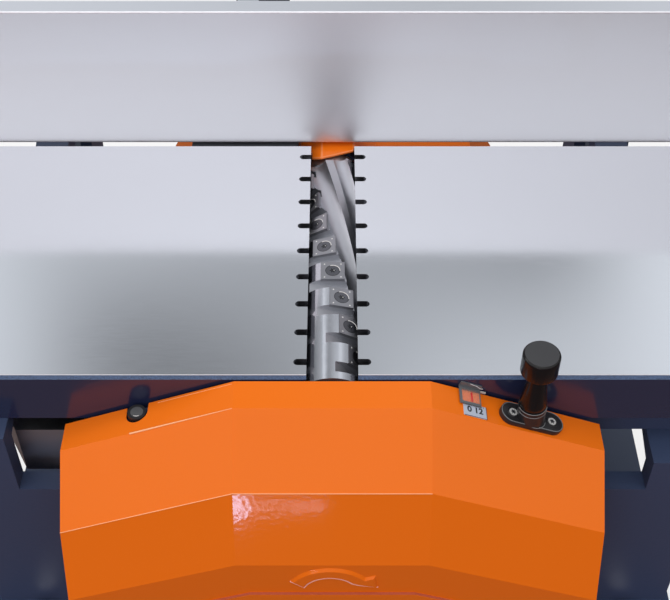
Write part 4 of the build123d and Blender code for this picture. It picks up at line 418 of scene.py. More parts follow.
def softened(node, width, edge=None, angle=12, flat=False):
    """A copy of a solid's mesh with rounded edges, which may take another material, such as a paler paint
    for a painted highlight, shown in its place.
    """
    mesh = nodes[node].data.copy()
    work = bmesh.new()
    work.from_mesh(mesh)
    bmesh.ops.remove_doubles(work, verts=work.verts, dist=WELD)
    bmesh.ops.dissolve_limit(work, angle_limit=LEVEL_ANGLE, verts=work.verts, edges=work.edges)
    weight = work.edges.layers.float.new("bevel_weight_edge")
    for edge_line in work.edges:
        if edge_line.calc_face_angle(0) > radians(angle):
            edge_line[weight] = edge_line.is_convex
            edge_line.smooth = edge_line.is_convex
    work.to_mesh(mesh)
    work.free()
    piece = add_object(node + "_skin", mesh, body_of_node[node], None)
    bevel = piece.modifiers.new("edges", "BEVEL")
    bevel.width = width
    bevel.segments = BEVEL_STEPS
    bevel.limit_method = "WEIGHT"
    bevel.harden_normals = not flat
    if flat:
        mesh.shade_flat()
    if edge:
        mesh.materials.append(edge)
        bevel.material = 1
    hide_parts(node)
    return piece


cover_skin = softened("front_cover", 0.9 * MM, angle=4, flat=True)
# Painted shade and sheen: the up-facing tops of the raised band take a darker, pinker orange than the
# cover's paint
cover_skin.data.materials.append(BAND_TOP_SHADE_AND_SHEEN)
for face in cover_skin.data.polygons:
    if face.normal.z > BAND_UP and face.center.y < FACE_Y + BAND_PROUD + BAND_SLACK:
        face.material_index = 1
# Painted highlight: the rear bearing cap's rounded edges take the paler orange
softened("rear_bearing_cap", 1.5 * MM, ORANGE_EDGE_HIGHLIGHT, flat=True)
softened("knob_flange", 0.9 * MM)
knob_skin = softened("depth_knob", 0.7 * MM)
# Painted light: the knob's level top takes the lighter grey
knob_skin.data.materials.append(KNOB_TOP_MATTE_LIT)
for face in knob_skin.data.polygons:
    if face.normal.z > UPRIGHT and face.center.z > KNOB_HIGH.z - MM:
        face.material_index = 1


# Small marks on the cutterblock: painted shade in the screw sockets and round the screw heads, painted
# highlights on the insert corners, screw heads and sockets
def edge_angle(row, y):
    """Angle of a row's cutting edge at a given Y, in degrees from straight up towards +X."""
    return row * 360 / ROWS - TWIST * (y - TWIST_START) / MM


def insert_frame(row, y):
    """Matrix of an insert's top face: X leads, Y runs along the block, Z points out."""
    lean = radians(edge_angle(row, y) - INSERT_LEAN)
    radius = CUT_RADIUS * cos(radians(INSERT_LEAN))
    middle = CUT_RADIUS * sin(radians(INSERT_LEAN)) - INSERT_WIDTH / 2
    x_axis = Vector((cos(lean), 0, -sin(lean)))
    z_axis = Vector((sin(lean), 0, cos(lean)))
    at = Vector((0, y, BLOCK_AXIS_Z)) + radius * z_axis + middle * x_axis
    matrix = Matrix((x_axis, (0, 1, 0), z_axis)).transposed().to_4x4()
    matrix.translation = at
    return matrix


insert_frames = []
for row in range(ROWS):
    lead = INSERT_START + row * INSERT_PITCH / ROWS
    insert_end = INSERT_LENGTH / 2 + INSERT_MARGIN
    first = ceil((BLOCK_FRONT + insert_end - lead) / INSERT_PITCH)
    last = floor((-BLOCK_FRONT - BLOCK_SHORT - insert_end - lead) / INSERT_PITCH)
    for number in range(first, last + 1):
        insert_frames.append(insert_frame(row, lead + number * INSERT_PITCH))


def prism(work, matrix, outline, low, high):
    """Adds an upright prism over an outline in a frame's XY plane."""
    bottom = [work.verts.new(matrix @ Vector((x, y, low))) for x, y in outline]
    top = [work.verts.new(matrix @ Vector((x, y, high))) for x, y in outline]
    work.faces.new(top)
    work.faces.new(list(reversed(bottom)))
    for index in range(len(outline)):
        following = (index + 1) % len(outline)
        work.faces.new((bottom[index], bottom[following], top[following], top[index]))


def prisms(name, body, material, items):
    """One piece made of several prisms, each given as frame, outline, low and high."""
    work = bmesh.new()
    for item in items:
        prism(work, *item)
    mesh = bpy.data.meshes.new(name)
    work.to_mesh(mesh)
    work.free()
    return add_object(name, mesh, body, material)


def circle(radius, count=20, at=(0, 0)):
    """Outline of a circle."""
    turns = [2 * pi * i / count for i in range(count)]
    return [(at[0] + radius * cos(turn), at[1] + radius * sin(turn)) for turn in turns]


def star(radius, depth, lobes=6, count=36):
    """Outline of a six lobed drive."""
    points = []
    for i in range(count):
        turn = 2 * pi * i / count
        reach = radius * (1 - depth * (1 - cos(lobes * turn)) / 2)
        points.append((reach * cos(turn), reach * sin(turn)))
    return points


SINK = 0.5 * MM  # how deep a mark is set into what carries it
SOCKET_RADIUS = 3.1 * MM
SOCKET_DEPTH = 0.45
SOCKET_RISE = 0.05 * MM
CORNER_GLINT_RADIUS = 0.75 * MM
CORNER_GLINT_X = 7.6 * MM
CORNER_GLINT_Y = 8.4 * MM
CORNER_GLINT_RISE = 0.04 * MM
corner_glint_places = [(sx * CORNER_GLINT_X, sy * CORNER_GLINT_Y) for sx in (-1, 1) for sy in (-1, 1)]
# Painted shade: a dark star where each insert screw's socket lies
prisms(
    "screw_socket_shade",
    "cutter",
    INK_AND_SHADE,
    [(matrix, star(SOCKET_RADIUS, SOCKET_DEPTH), -SINK, SOCKET_RISE) for matrix in insert_frames],
)
# Painted highlight: pale dots at the corners of each insert
prisms(
    "insert_corner_glints",
    "cutter",
    HIGHLIGHT_PALE,
    [(m, circle(CORNER_GLINT_RADIUS, 8, place), -SINK, CORNER_GLINT_RISE) for m in insert_frames for place in corner_glint_places],
)


def rings(name, body, material, items, thickness, count=28, sides=6, sweep=(0, 360)):
    """Thin rings or arcs joined in one piece, each given as frame and radius."""
    work = bmesh.new()
    whole = sweep[1] - sweep[0] == 360
    steps = count if whole else count + 1
    for matrix, radius in items:
        loops = []
        for i in range(steps):
            turn = radians(sweep[0] + (sweep[1] - sweep[0]) * i / count)
            loop = []
            for j in range(sides):
                roll = 2 * pi * j / sides
                reach = radius + thickness * cos(roll)
                point = Vector((reach * cos(turn), reach * sin(turn), thickness * sin(roll)))
                loop.append(work.verts.new(matrix @ point))
            loops.append(loop)
        for i in range(count):
            for j in range(sides):
                a, b = loops[i], loops[(i + 1) % steps]
                k = (j + 1) % sides
                work.faces.new((a[j], b[j], b[k], a[k]))
        if not whole:
            work.faces.new(loops[0])
            work.faces.new(reversed(loops[-1]))
    mesh = bpy.data.meshes.new(name)
    work.to_mesh(mesh)
    work.free()
    mesh.shade_smooth()
    return add_object(name, mesh, body, material)


RIM_WIRE = 0.25 * MM
GLINT_WIRE = 0.38 * MM
GLINT_SWEEP = (-5, 110)
GLINT_RADIUS = 0.5 * MM
GLINT_AT = (1.2 * MM, 0.3 * MM)
GLINT_SINK = 0.3 * MM
GLINT_RISE = 0.1 * MM
countersinks = [(matrix, SCREW_HEAD) for matrix in insert_frames]
# Painted shade: a dark ring round each insert screw's head
rings("countersink_shade_rims", "cutter", INK_AND_SHADE, countersinks, RIM_WIRE)
# Painted highlight: pale arcs on the insert screws' heads
rings("countersink_glints", "cutter", HIGHLIGHT_PALE, countersinks, GLINT_WIRE, 14, sweep=GLINT_SWEEP)
# Painted highlight: a pale glint in each insert screw's socket
prisms(
    "socket_glints",
    "cutter",
    HIGHLIGHT_PALE,
    [(m, circle(GLINT_RADIUS, 8, GLINT_AT), -GLINT_SINK, GLINT_RISE) for m in insert_frames],
)


# Small pieces on the front cover
def ledge_frame(x, y, lift=0.0):
    """Matrix on the falling right side of the ledge: X runs downhill, Y runs back, Z points out."""
    x_axis = Vector((cos(SIDE_SLOPE), 0, -sin(SIDE_SLOPE)))
    z_axis = Vector((sin(SIDE_SLOPE), 0, cos(SIDE_SLOPE)))
    matrix = Matrix((x_axis, (0, 1, 0), z_axis)).transposed().to_4x4()
    matrix.translation = Vector((x, y, LEDGE_TOP - (x - BEND) * tan(SIDE_SLOPE))) + lift * z_axis
    return matrix


CORNERS = ((-1, -1), (1, -1), (1, 1), (-1, 1))


def rectangle(width, depth, at=(0, 0)):
    """Outline of a rectangle about a point."""
    return [(at[0] + sx * width / 2, at[1] + sy * depth / 2) for sx, sy in CORNERS]


KNOB_X = (KNOB_LOW.x + KNOB_HIGH.x) / 2
KNOB_Y = (KNOB_LOW.y + KNOB_HIGH.y) / 2
BOSS_OVER_SHAFT = 24.7 * MM  # lower end of the knob's shaft up to the top of the boss
FLANGE_T = 5 * MM
FLANGE_SCREW_X = 18.5 * MM
FLANGE_SCREW = 3.7 * MM
FLANGE_SCREW_RISE = 0.7 * MM
FLANGE_SOCKET = 2.6 * MM
FLANGE_SOCKET_DEPTH = 0.5
FLANGE_SOCKET_LOW = 0.1 * MM
FLANGE_SOCKET_HIGH = 0.75 * MM
FLANGE_RIM_OUT = 1.2 * MM
FLANGE_RIM_WIRE = 0.7 * MM
flange_frame = ledge_frame(KNOB_X, KNOB_Y, FLANGE_T)
screw_frames = [flange_frame @ Matrix.Translation((sx * FLANGE_SCREW_X, 0, 0)) for sx in (-1, 1)]
screw_outline = circle(FLANGE_SCREW, 28)
socket_outline = star(FLANGE_SOCKET, FLANGE_SOCKET_DEPTH)
prisms(
    "flange_screws",
    "base",
    SCREW_STEEL,
    [(m, screw_outline, -SINK, FLANGE_SCREW_RISE) for m in screw_frames],
)
# Painted shade: a dark star where each flange screw's socket lies
prisms(
    "flange_socket_shade",
    "base",
    INK_AND_SHADE,
    [(m, socket_outline, FLANGE_SOCKET_LOW, FLANGE_SOCKET_HIGH) for m in screw_frames],
)
screw_rims = [(m, FLANGE_SCREW + FLANGE_RIM_OUT) for m in screw_frames]
# Painted shade: a dark ring round each flange screw's head
rings("flange_screw_shade_rims", "base", BLACK_PLASTIC_AND_SHADE, screw_rims, FLANGE_RIM_WIRE)

SCALE_X = (SCALE_LOW.x + SCALE_HIGH.x) / 2
SCALE_Y = (SCALE_LOW.y + SCALE_HIGH.y) / 2
SCALE_T = 0.6 * MM
scale_frame = ledge_frame(SCALE_X, SCALE_Y, SCALE_T)
DIGIT_SIZE = 8.28 * MM
DIGIT_RISE = 0.03 * MM
DIGIT_WEIGHT = 0.26 * MM
DIGIT_SHIFT = 0.6 * MM
TICK_PITCH = 1.6 * MM
TICK_ROW = 5.2 * MM
TICK_WIDTH = 0.35 * MM
TICK_LENGTH = 1.6 * MM
TICK_SINK = 0.2 * MM


def from_curve(name, curve, body, material, matrix=None):
    """Turns a curve into a mesh piece that rides on a body."""
    holder = bpy.data.objects.new(name + "_line", curve)
    bpy.context.scene.collection.objects.link(holder)
    bpy.context.view_layer.update()
    mesh = bpy.data.meshes.new_from_object(holder.evaluated_get(bpy.context.evaluated_depsgraph_get()))
    bpy.data.objects.remove(holder)
    bpy.data.curves.remove(curve)
    if matrix:
        mesh.transform(matrix)
    return add_object(name, mesh, body, material)


def numerals(name, words, matrix, size, body, material):
    """Flat numerals cut from the built-in typeface."""
    curve = bpy.data.curves.new(name + "_curve", "FONT")
    curve.body = words
    curve.size = size
    curve.extrude = DIGIT_RISE
    curve.offset = DIGIT_WEIGHT
    curve.align_x = "CENTER"
    curve.align_y = "CENTER"
    return from_curve(name, curve, body, material, matrix)


numerals_frame = scale_frame @ Matrix.Translation((0, DIGIT_SHIFT, 0))
numerals("scale_numerals", "0 12", numerals_frame, DIGIT_SIZE, "base", INK_AND_SHADE)
ticks = [rectangle(TICK_WIDTH, TICK_LENGTH, (index * TICK_PITCH, TICK_ROW)) for index in range(-5, 6)]
prisms(
    "scale_ticks",
    "base",
    INK_AND_SHADE,
    [(scale_frame, tick, -TICK_SINK, DIGIT_RISE) for tick in ticks],
)

WINDOW_X = (WINDOW_LOW.x + WINDOW_HIGH.x) / 2
WINDOW_Y = (WINDOW_LOW.y + WINDOW_HIGH.y) / 2
POINTER_LIFT = 2.5 * MM
HAIRLINE_WIDTH = 1.2 * MM
HAIRLINE_LENGTH = 9.5 * MM
HAIRLINE_AT = (0, -0.6 * MM)
HAIRLINE_RISE = 0.05 * MM
LUG_WIDTH = 5 * MM
LUG_DEPTH = 1.2 * MM
LUG_AT = (11 * MM, -2.4 * MM)
LUG_SINK = 1.2 * MM
LUG_RISE = 0.3 * MM
window_frame = ledge_frame(WINDOW_X, WINDOW_Y, POINTER_LIFT)
prisms(
    "pointer_hairline",
    "infeed",
    HAIRLINE,
    [(window_frame, rectangle(HAIRLINE_WIDTH, HAIRLINE_LENGTH, HAIRLINE_AT), -SINK, HAIRLINE_RISE)],
)
pointer_frame = ledge_frame((POINTER_LOW.x + POINTER_HIGH.x) / 2, POINTER_HIGH.y, POINTER_LIFT)
prisms(
    "pointer_lug",
    "infeed",
    SCREW_STEEL,
    [(pointer_frame, rectangle(LUG_WIDTH, LUG_DEPTH, LUG_AT), -LUG_SINK, LUG_RISE)],
)

# Turning arrow in relief low on the front cover
ARROW_AT = (-2.0 * MM, 705.5 * MM)
ARROW_OUTER = 39.2 * MM
ARROW_INNER = 24.0 * MM
ARROW_OUTER_SPAN = (152, 38)
ARROW_INNER_SPAN = (38, 160)
ARROW_STEPS = 28
ARROW_SLOPE = 2.8 * MM
ARROW_RELIEF = 2.2 * MM
ARROW_HEAD = ((37.6 * MM, 733 * MM), (40 * MM, 714.7 * MM), (22 * MM, 718 * MM))
COVER_FACE = FACE_Y + BAND_PROUD
BEAD = 0.55 * MM


def arc(radius, start, end):
    """Points on a circle round the arrow's middle, between two angles in degrees."""
    turns = [radians(start + (end - start) * i / ARROW_STEPS) for i in range(ARROW_STEPS + 1)]
    return [(ARROW_AT[0] + radius * cos(t), ARROW_AT[1] + radius * sin(t)) for t in turns]


def thinned(points, count):
    """A line of points without those next to its two ends, so that a slope fits in the corners."""
    return points[:1] + points[1 + count : -1 - count] + points[-1:]


def wire(name, points, radius, body, material, closed=False, taper=1.0):
    """A thin round bead along a line of points, its radius at the end being a share of that at the start."""
    curve = bpy.data.curves.new(name + "_curve", "CURVE")
    curve.dimensions = "3D"
    curve.bevel_depth = radius
    curve.bevel_resolution = 2
    curve.use_fill_caps = not closed
    spline = curve.splines.new("POLY")
    spline.use_cyclic_u = closed
    spline.points.add(len(points) - 1)
    for index, (point, at) in enumerate(zip(spline.points, points)):
        point.co = (*at, 1)
        point.radius = 1 + (taper - 1) * index / (len(points) - 1)
    return from_curve(name, curve, body, material)


# Painted highlights along the cover's creases: thin pale beads where the rounded creases catch the light
LOWER_BEAD = 0.34 * MM
UPPER_BEAD = 0.8 * MM
UPPER_TAPER = 0.3
UPPER_END = 172 * MM
REAR_BEAD = 0.18 * MM
REAR_INSET = 2.4 * MM
REAR_ENDS = (-150 * MM, -BEND - 2 * MM)


def crease(x, out, fall):
    """A point on a crease of the cover, given how far it lies behind the face and below the top."""
    return (x, COVER_FACE + out, LEDGE_TOP - fall - max(0, abs(x) - BEND) * tan(SIDE_SLOPE))


lower_crease = [crease(x, CHEEK_OUT, BROW_FALL) for x in (-COVER_X, -BEND, BEND)]
upper_crease = [crease(x, CHEEK_OUT + BROW_OUT, 0) for x in (-UPPER_END, -BEND)]
rear_line = [crease(x, CHEEK_OUT + BROW_OUT + LEDGE - REAR_INSET, 0) for x in REAR_ENDS]
# Painted highlight: pale beads along the rear edge and the creases, standing for light caught by the rounded
# edges
wire("rear_line_highlight", rear_line, REAR_BEAD, "base", CREASE_HIGHLIGHT_PALE)
wire("lower_crease_highlight", lower_crease, LOWER_BEAD, "base", CREASE_HIGHLIGHT_PALE)
wire("upper_crease_highlight", upper_crease, UPPER_BEAD, "base", CREASE_HIGHLIGHT_PALE, taper=UPPER_TAPER)

# Boss under the depth knob, with painted highlights on its edges, and a painted highlight on the edge of the
# flange
BOSS_RADIUS = 12.1 * MM
BOSS_BORE = 11.65 * MM
BOSS_STEP = 4.2 * MM
BOSS_SIDES = 48
BOSS_SWEEP = (195, 345)
BOSS_EDGE_IN = 0.1 * MM
EDGE_WIRE = 0.35 * MM
BOSS_TOP = KNOB_LOW.z + BOSS_OVER_SHAFT
boss_work = bmesh.new()
boss_loops = []
for radius, top in ((BOSS_BORE, False), (BOSS_RADIUS, False), (BOSS_RADIUS, True), (BOSS_BORE, True)):
    rim = [(KNOB_X + x, KNOB_Y + y) for x, y in circle(radius, BOSS_SIDES)]
    feet = [ledge_frame(x, y, FLANGE_T - MM).translation.z for x, y in rim]
    boss_loops.append([boss_work.verts.new((x, y, BOSS_TOP if top else z)) for (x, y), z in zip(rim, feet)])
for number, loop in enumerate(boss_loops):
    outer = boss_loops[(number + 1) % len(boss_loops)]
    for index in range(len(loop)):
        boss_work.faces.new((loop[index], loop[index - 1], outer[index - 1], outer[index]))
bmesh.ops.recalc_face_normals(boss_work, faces=boss_work.faces)
boss_mesh = bpy.data.meshes.new("knob_boss")
boss_work.to_mesh(boss_mesh)
boss_work.free()
smooth(boss_mesh)
add_object("knob_boss", boss_mesh, "base", BLACK_PLASTIC_AND_SHADE)
boss_frames = [Matrix.Translation((KNOB_X, KNOB_Y, BOSS_TOP - drop)) for drop in (0, BOSS_STEP)]
# Painted highlight: grey arcs on the boss's edges and on the flange's face
boss_edge_highlights = [(m, BOSS_RADIUS - BOSS_EDGE_IN) for m in boss_frames + [flange_frame]]
rings("boss_edge_highlights", "base", EDGE_HIGHLIGHT_GREY, boss_edge_highlights, EDGE_WIRE, 36, sweep=BOSS_SWEEP)
FLANGE_HALF = 18.75 * MM
FLANGE_ROUND = 10.1 * MM
FLANGE_STEP = 15  # degrees between points on a round end
flange_rim = []
for side in (-1, 1):
    for step in range(180 // FLANGE_STEP + 1):
        turn = radians(FLANGE_STEP * step - 90 * side)
        x = side * FLANGE_HALF + FLANGE_ROUND * cos(turn)
        flange_rim.append(flange_frame @ Vector((x, FLANGE_ROUND * sin(turn), 0)))
# Painted highlight: a grey bead round the flange's top edge
wire("flange_edge_highlight", flange_rim, EDGE_WIRE, "base", EDGE_HIGHLIGHT_GREY, closed=True)

# Painted highlight along the front edge of each ground table
TOP_SLACK = 0.02 * MM
FRONT_SLACK = 0.1 * MM
TABLE_EDGE_DROP = 0.25 * MM
TABLE_EDGE_WIRE = 0.4 * MM
# Painted highlight: a pale bead along the front edge of each table
for name, body in (("infeed_table", "infeed"), ("outfeed_table", "outfeed")):
    top_corners = [v.co for v in nodes[name].data.vertices if v.co.z > TABLE_TOP - TOP_SLACK]
    front_y = min(corner.y for corner in top_corners)
    front_x = [corner.x for corner in top_corners if corner.y < front_y + FRONT_SLACK]
    ends = [(x, front_y, TABLE_TOP - TABLE_EDGE_DROP) for x in (min(front_x), max(front_x))]
    wire(name + "_edge", ends, TABLE_EDGE_WIRE, body, EDGE_HIGHLIGHT_STEEL)

# Painted highlight along the folded top of the pointer, painted shade along the border of the scale and a
# painted glint on the stop bolt
FOLD = ((-3, 4.9), (0, 4.4), (3, 4.1), (5.5, 2.9), (8, 2.2), (9.6, 2.4))  # along and up, in millimetres
FOLD_Y = -1.3 * MM
fold_line = [pointer_frame @ Vector((x * MM, FOLD_Y, z * MM)) for x, z in FOLD]
# Painted highlight: a pale bead along the pointer's fold
wire("pointer_fold_highlight", fold_line, EDGE_WIRE, "infeed", EDGE_HIGHLIGHT_STEEL)
SCALE_HALF_X = 10.5 * MM
SCALE_HALF_Y = 6.3 * MM
border = [(SCALE_HALF_X, SCALE_HALF_Y), (SCALE_HALF_X, -SCALE_HALF_Y), (-SCALE_HALF_X, -SCALE_HALF_Y)]
# Painted shade: a dark line along the right and lower edges of the scale
wire("scale_border_shade", [scale_frame @ Vector((x, y, 0)) for x, y in border], RIM_WIRE, "base", INK_AND_SHADE)
# Painted highlight: a pale arc on the stop bolt's head
BOLT_GLINT_RADIUS = 4.6 * MM
BOLT_GLINT_SWEEP = (240, 300)
bolt_low, bolt_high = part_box("stop_bolt")
bolt_middle = (bolt_low + bolt_high) / 2
bolt_glint = [(Matrix.Translation((bolt_middle.x, bolt_middle.y, bolt_high.z)), BOLT_GLINT_RADIUS)]
rings("stop_bolt_glint", "base", HIGHLIGHT_PALE, bolt_glint, RIM_WIRE, 10, sweep=BOLT_GLINT_SWEEP)

# The arrow itself, with a painted highlight along its lower edge
arrow_top = thinned(arc(ARROW_OUTER, *ARROW_OUTER_SPAN), 1)
arrow_under = thinned(arc(ARROW_INNER, *ARROW_INNER_SPAN), 2)
arrow_work = bmesh.new()
arrow_outline = arrow_top + list(ARROW_HEAD) + arrow_under
arrow_face = arrow_work.faces.new([arrow_work.verts.new((x, COVER_FACE, z)) for x, z in arrow_outline])
arrow_face.normal_update()
if arrow_face.normal.y > 0:
    arrow_face.normal_flip()
bmesh.ops.inset_individual(arrow_work, faces=[arrow_face], thickness=ARROW_SLOPE, depth=ARROW_RELIEF)
arrow_mesh = bpy.data.meshes.new("turning_arrow")
arrow_work.to_mesh(arrow_mesh)
arrow_work.free()
add_object("turning_arrow", arrow_mesh, "base", ORANGE)
# Painted highlight: a pale bead along the arrow's lower edge, standing for light on its up-facing edge
highlight_line = [ARROW_HEAD[1], ARROW_HEAD[2]] + arrow_under + [arrow_top[0]]
wire("arrow_edge_highlight", [(x, COVER_FACE - BEAD, z) for x, z in highlight_line], BEAD, "base", ARROW_HIGHLIGHT_PALE)

# Floor: it looks white in the camera, and lights the object like a dim, warm floor
FLOOR_HALF = 12
FLOOR_DIM = (0.15, 0.1, 0.09, 1)
FLOOR_PALE = (0.9, 0.9, 0.9, 1)
FLOOR_ROUGHNESS = 0.8
FLOOR_LIFT = 0.6
floor_mesh = bpy.data.meshes.new("floor")
floor_corners = [(sx * FLOOR_HALF, sy * FLOOR_HALF, 0) for sx, sy in CORNERS]
floor_mesh.from_pydata(floor_corners, [], [(0, 1, 2, 3)])
floor = bpy.data.objects.new("floor", floor_mesh)
bpy.context.scene.collection.objects.link(floor)


def floor_material():
    """Pale floor that keeps shadows and is lifted towards white only for what is seen directly."""
    material, dim, tree_nodes, links = new_material("floor_paint")
    dim.inputs["Base Color"].default_value = FLOOR_DIM
    dim.inputs["Roughness"].default_value = FLOOR_ROUGHNESS
    pale = tree_nodes.new("ShaderNodeBsdfDiffuse")
    pale.inputs["Color"].default_value = FLOOR_PALE
    glow = tree_nodes.new("ShaderNodeEmission")
    glow.inputs["Strength"].default_value = 1.0
    lifted = tree_nodes.new("ShaderNodeMixShader")
    lifted.inputs["Fac"].default_value = FLOOR_LIFT
    path = tree_nodes.new("ShaderNodeLightPath")
    seen = tree_nodes.new("ShaderNodeMath")
    chosen = tree_nodes.new("ShaderNodeMixShader")
    links.new(path.outputs["Is Camera Ray"], seen.inputs[0])
    links.new(path.outputs["Is Transmission Ray"], seen.inputs[1])
    links.new(pale.outputs["BSDF"], lifted.inputs[1])
    links.new(glow.outputs["Emission"], lifted.inputs[2])
    links.new(seen.outputs["Value"], chosen.inputs["Fac"])
    links.new(dim.outputs["BSDF"], chosen.inputs[1])
    links.new(lifted.outputs["Shader"], chosen.inputs[2])
    links.new(chosen.outputs["Shader"], tree_nodes["Material Output"].inputs["Surface"])
    return material


dress(floor_mesh, floor_material())

# Studio: bright in front and above, dim and warm low in front, darker behind the machine
world = bpy.data.worlds.new("studio")
bpy.context.scene.world = world
world.use_nodes = True
world_nodes = world.node_tree.nodes
world_links = world.node_tree.links
background = world_nodes["Background"]
direction = world_nodes.new("ShaderNodeTexCoord")
axes = world_nodes.new("ShaderNodeSeparateXYZ")
world_links.new(direction.outputs["Generated"], axes.inputs["Vector"])


def world_range(value, low, high, to_low, to_high, kind="LINEAR"):
    """Clamped range of a value in the studio's shading."""
    span = world_nodes.new("ShaderNodeMapRange")
    span.interpolation_type = kind
    span.inputs["From Min"].default_value = low
    span.inputs["From Max"].default_value = high
    span.inputs["To Min"].default_value = to_low
    span.inputs["To Max"].default_value = to_high
    world_links.new(value, span.inputs["Value"])
    return span.outputs["Result"]


def world_math(operation, first, second):
    """Result of an operation on two values in the studio's shading."""
    result = world_nodes.new("ShaderNodeMath")
    result.operation = operation
    world_links.new(first, result.inputs[0])
    world_links.new(second, result.inputs[1])
    return result.outputs["Value"]


BACK_RISE = 0.699  # height of the line of sight where both sides of the back are alike
FRONT_LEFT = 1.2
FRONT_RIGHT = 1.01
HIGH_FRONT = 0.7  # share of the front's light left straight overhead
LOW_FRONT = 0.05  # share of the front's light left at the horizon
BACK_LEFT = 0.27
BACK_RIGHT = 0.7
BACK_ENDS = (0.1, 0.15)
LOW_WARM = (1.3, 0.5, 0.6, 1)  # tint low in front
FRONT_TINT = (1.08, 1.07, 1.07, 1)
BACK_TINT = (1.02, 1.05, 1.1, 1)
BACKDROP = (0.92, 0.92, 0.92, 1)
# Where one part of the studio passes into the next, as shares of a line of sight along X, Y or Z
ACROSS_SPAN = (-0.2, 0.2)
LOW_SPAN = (0, 0.5)
HIGH_SPAN = (0.75, 0.95)
WARM_SPAN = (0.1, 0.4)
OFF_FRONT_SPAN = (-0.65, -0.35)
BEHIND_SPAN = (0.3, 0.55)
MIDDLE_SPAN = (0.17, 0.25)
BACK_SPAN = 0.2
CORNER_BLEND = 0.006
BACK_STRIPS = (  # brightness behind the machine, from its left to its right
    (-0.72, 0.12),
    (-0.5, 0.4),
    (-0.38, 0.5),
    (-0.33, 1.1),
    (-0.28, 0.8),
    (-0.2, 0.55),
    (0.2, 0.75),
    (0.3, 0.95),
    (0.4, 0.6),
    (0.6, 0.3),
)
rise = world_range(axes.outputs["Z"], BACK_RISE - BACK_SPAN, BACK_RISE + BACK_SPAN, -BACK_SPAN, BACK_SPAN)
corner = world_math("MULTIPLY", axes.outputs["X"], rise)
back_middle = world_range(corner, -CORNER_BLEND, CORNER_BLEND, BACK_LEFT, BACK_RIGHT)
strips = world_nodes.new("ShaderNodeValToRGB")
for stop, level in zip(strips.color_ramp.elements, BACK_ENDS):
    stop.color = (level, level, level, 1)
for side, level in BACK_STRIPS:
    stop = strips.color_ramp.elements.new((side + 1) / 2)
    stop.color = (level, level, level, 1)
world_links.new(world_range(axes.outputs["X"], -1, 1, 0, 1), strips.inputs["Fac"])
outward = world_nodes.new("ShaderNodeMath")
outward.operation = "ABSOLUTE"
world_links.new(axes.outputs["X"], outward.inputs[0])
back_mix = world_nodes.new("ShaderNodeMix")
world_links.new(world_range(outward.outputs["Value"], *MIDDLE_SPAN, 0, 1), back_mix.inputs["Factor"])
world_links.new(back_middle, back_mix.inputs["A"])
world_links.new(strips.outputs["Color"], back_mix.inputs["B"])
back = back_mix.outputs["Result"]
across_front = world_range(axes.outputs["X"], *ACROSS_SPAN, FRONT_LEFT, FRONT_RIGHT)
low_share = world_range(axes.outputs["Z"], *LOW_SPAN, LOW_FRONT, 1)
high_share = world_range(axes.outputs["Z"], *HIGH_SPAN, 1, HIGH_FRONT)
rising_front = world_math("MULTIPLY", across_front, low_share)
front = world_math("MULTIPLY", rising_front, high_share)
behind = world_range(axes.outputs["Y"], *BEHIND_SPAN, 0, 1, "SMOOTHSTEP")
studio = world_nodes.new("ShaderNodeMix")
world_links.new(behind, studio.inputs["Factor"])
world_links.new(front, studio.inputs["A"])
world_links.new(back, studio.inputs["B"])
tint = world_nodes.new("ShaderNodeMix")
tint.data_type = "RGBA"
warmth = world_nodes.new("ShaderNodeMix")
warmth.data_type = "RGBA"
warmth.inputs["A"].default_value = LOW_WARM
warmth.inputs["B"].default_value = FRONT_TINT
above_low = world_range(axes.outputs["Z"], *WARM_SPAN, 0, 1)
off_front = world_range(axes.outputs["Y"], *OFF_FRONT_SPAN, 0, 1)
world_links.new(world_math("MAXIMUM", above_low, off_front), warmth.inputs["Factor"])
world_links.new(warmth.outputs["Result"], tint.inputs["A"])
tint.inputs["B"].default_value = BACK_TINT
world_links.new(behind, tint.inputs["Factor"])
world_links.new(tint.outputs["Result"], background.inputs["Color"])
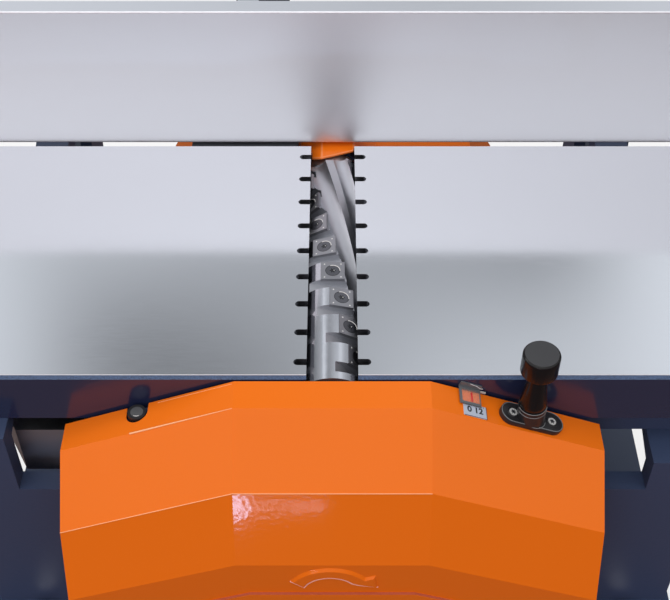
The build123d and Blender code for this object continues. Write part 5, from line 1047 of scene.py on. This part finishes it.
world_links.new(studio.outputs["Result"], background.inputs["Strength"])
backdrop = world_nodes.new("ShaderNodeBackground")
backdrop.inputs["Color"].default_value = BACKDROP
in_camera = world_nodes.new("ShaderNodeLightPath")
either = world_nodes.new("ShaderNodeMixShader")
world_links.new(in_camera.outputs["Is Camera Ray"], either.inputs["Fac"])
world_links.new(background.outputs["Background"], either.inputs[1])
world_links.new(backdrop.outputs["Background"], either.inputs[2])
world_links.new(either.outputs["Shader"], world_nodes["World Output"].inputs["Surface"])


LIGHT_TARGET = Vector((0, -0.2, 0.8))


def area_light(name, at, width, height, power, colour=(1, 1, 1)):
    """A soft lamp aimed at the machine, not seen by the camera itself."""
    lamp = bpy.data.lights.new(name, "AREA")
    lamp.shape = "RECTANGLE"
    lamp.size = width
    lamp.size_y = height
    lamp.energy = power
    lamp.color = colour
    holder = bpy.data.objects.new(name, lamp)
    holder.location = at
    holder.rotation_euler = (LIGHT_TARGET - Vector(at)).to_track_quat("-Z", "Y").to_euler()
    holder.visible_camera = False
    bpy.context.scene.collection.objects.link(holder)


area_light("front_window", (-0.75, -3.0, 1.25), width=1.6, height=0.1, power=6.5, colour=(1, 0.85, 0.86))
area_light("left_window", (-2.25, 0.5, 2.85), width=0.6, height=0.9, power=8, colour=(1, 0.96, 0.95))
area_light("low_card", (-0.26, -2.2, 0.227), width=0.08, height=0.054, power=0.65, colour=(0.5, 0.7, 1))
area_light("low_strip", (-0.121, -2.2, 0.226), width=0.196, height=0.02, power=0.15, colour=(0.6, 0.8, 1))
area_light("ceiling_window", (0, -0.8, 3.4), width=1.6, height=1.0, power=8)

camera_data = bpy.data.cameras.new("camera")
camera_data.lens = CAMERA_LENS
camera_data.sensor_width = SENSOR
camera_data.clip_end = 100
camera = bpy.data.objects.new("camera", camera_data)
camera.location = CAMERA_AT
camera.rotation_euler = (radians(CAMERA_PITCH), 0, 0)
bpy.context.scene.collection.objects.link(camera)
bpy.context.scene.camera = camera
bpy.context.scene.view_settings.view_transform = "Standard"
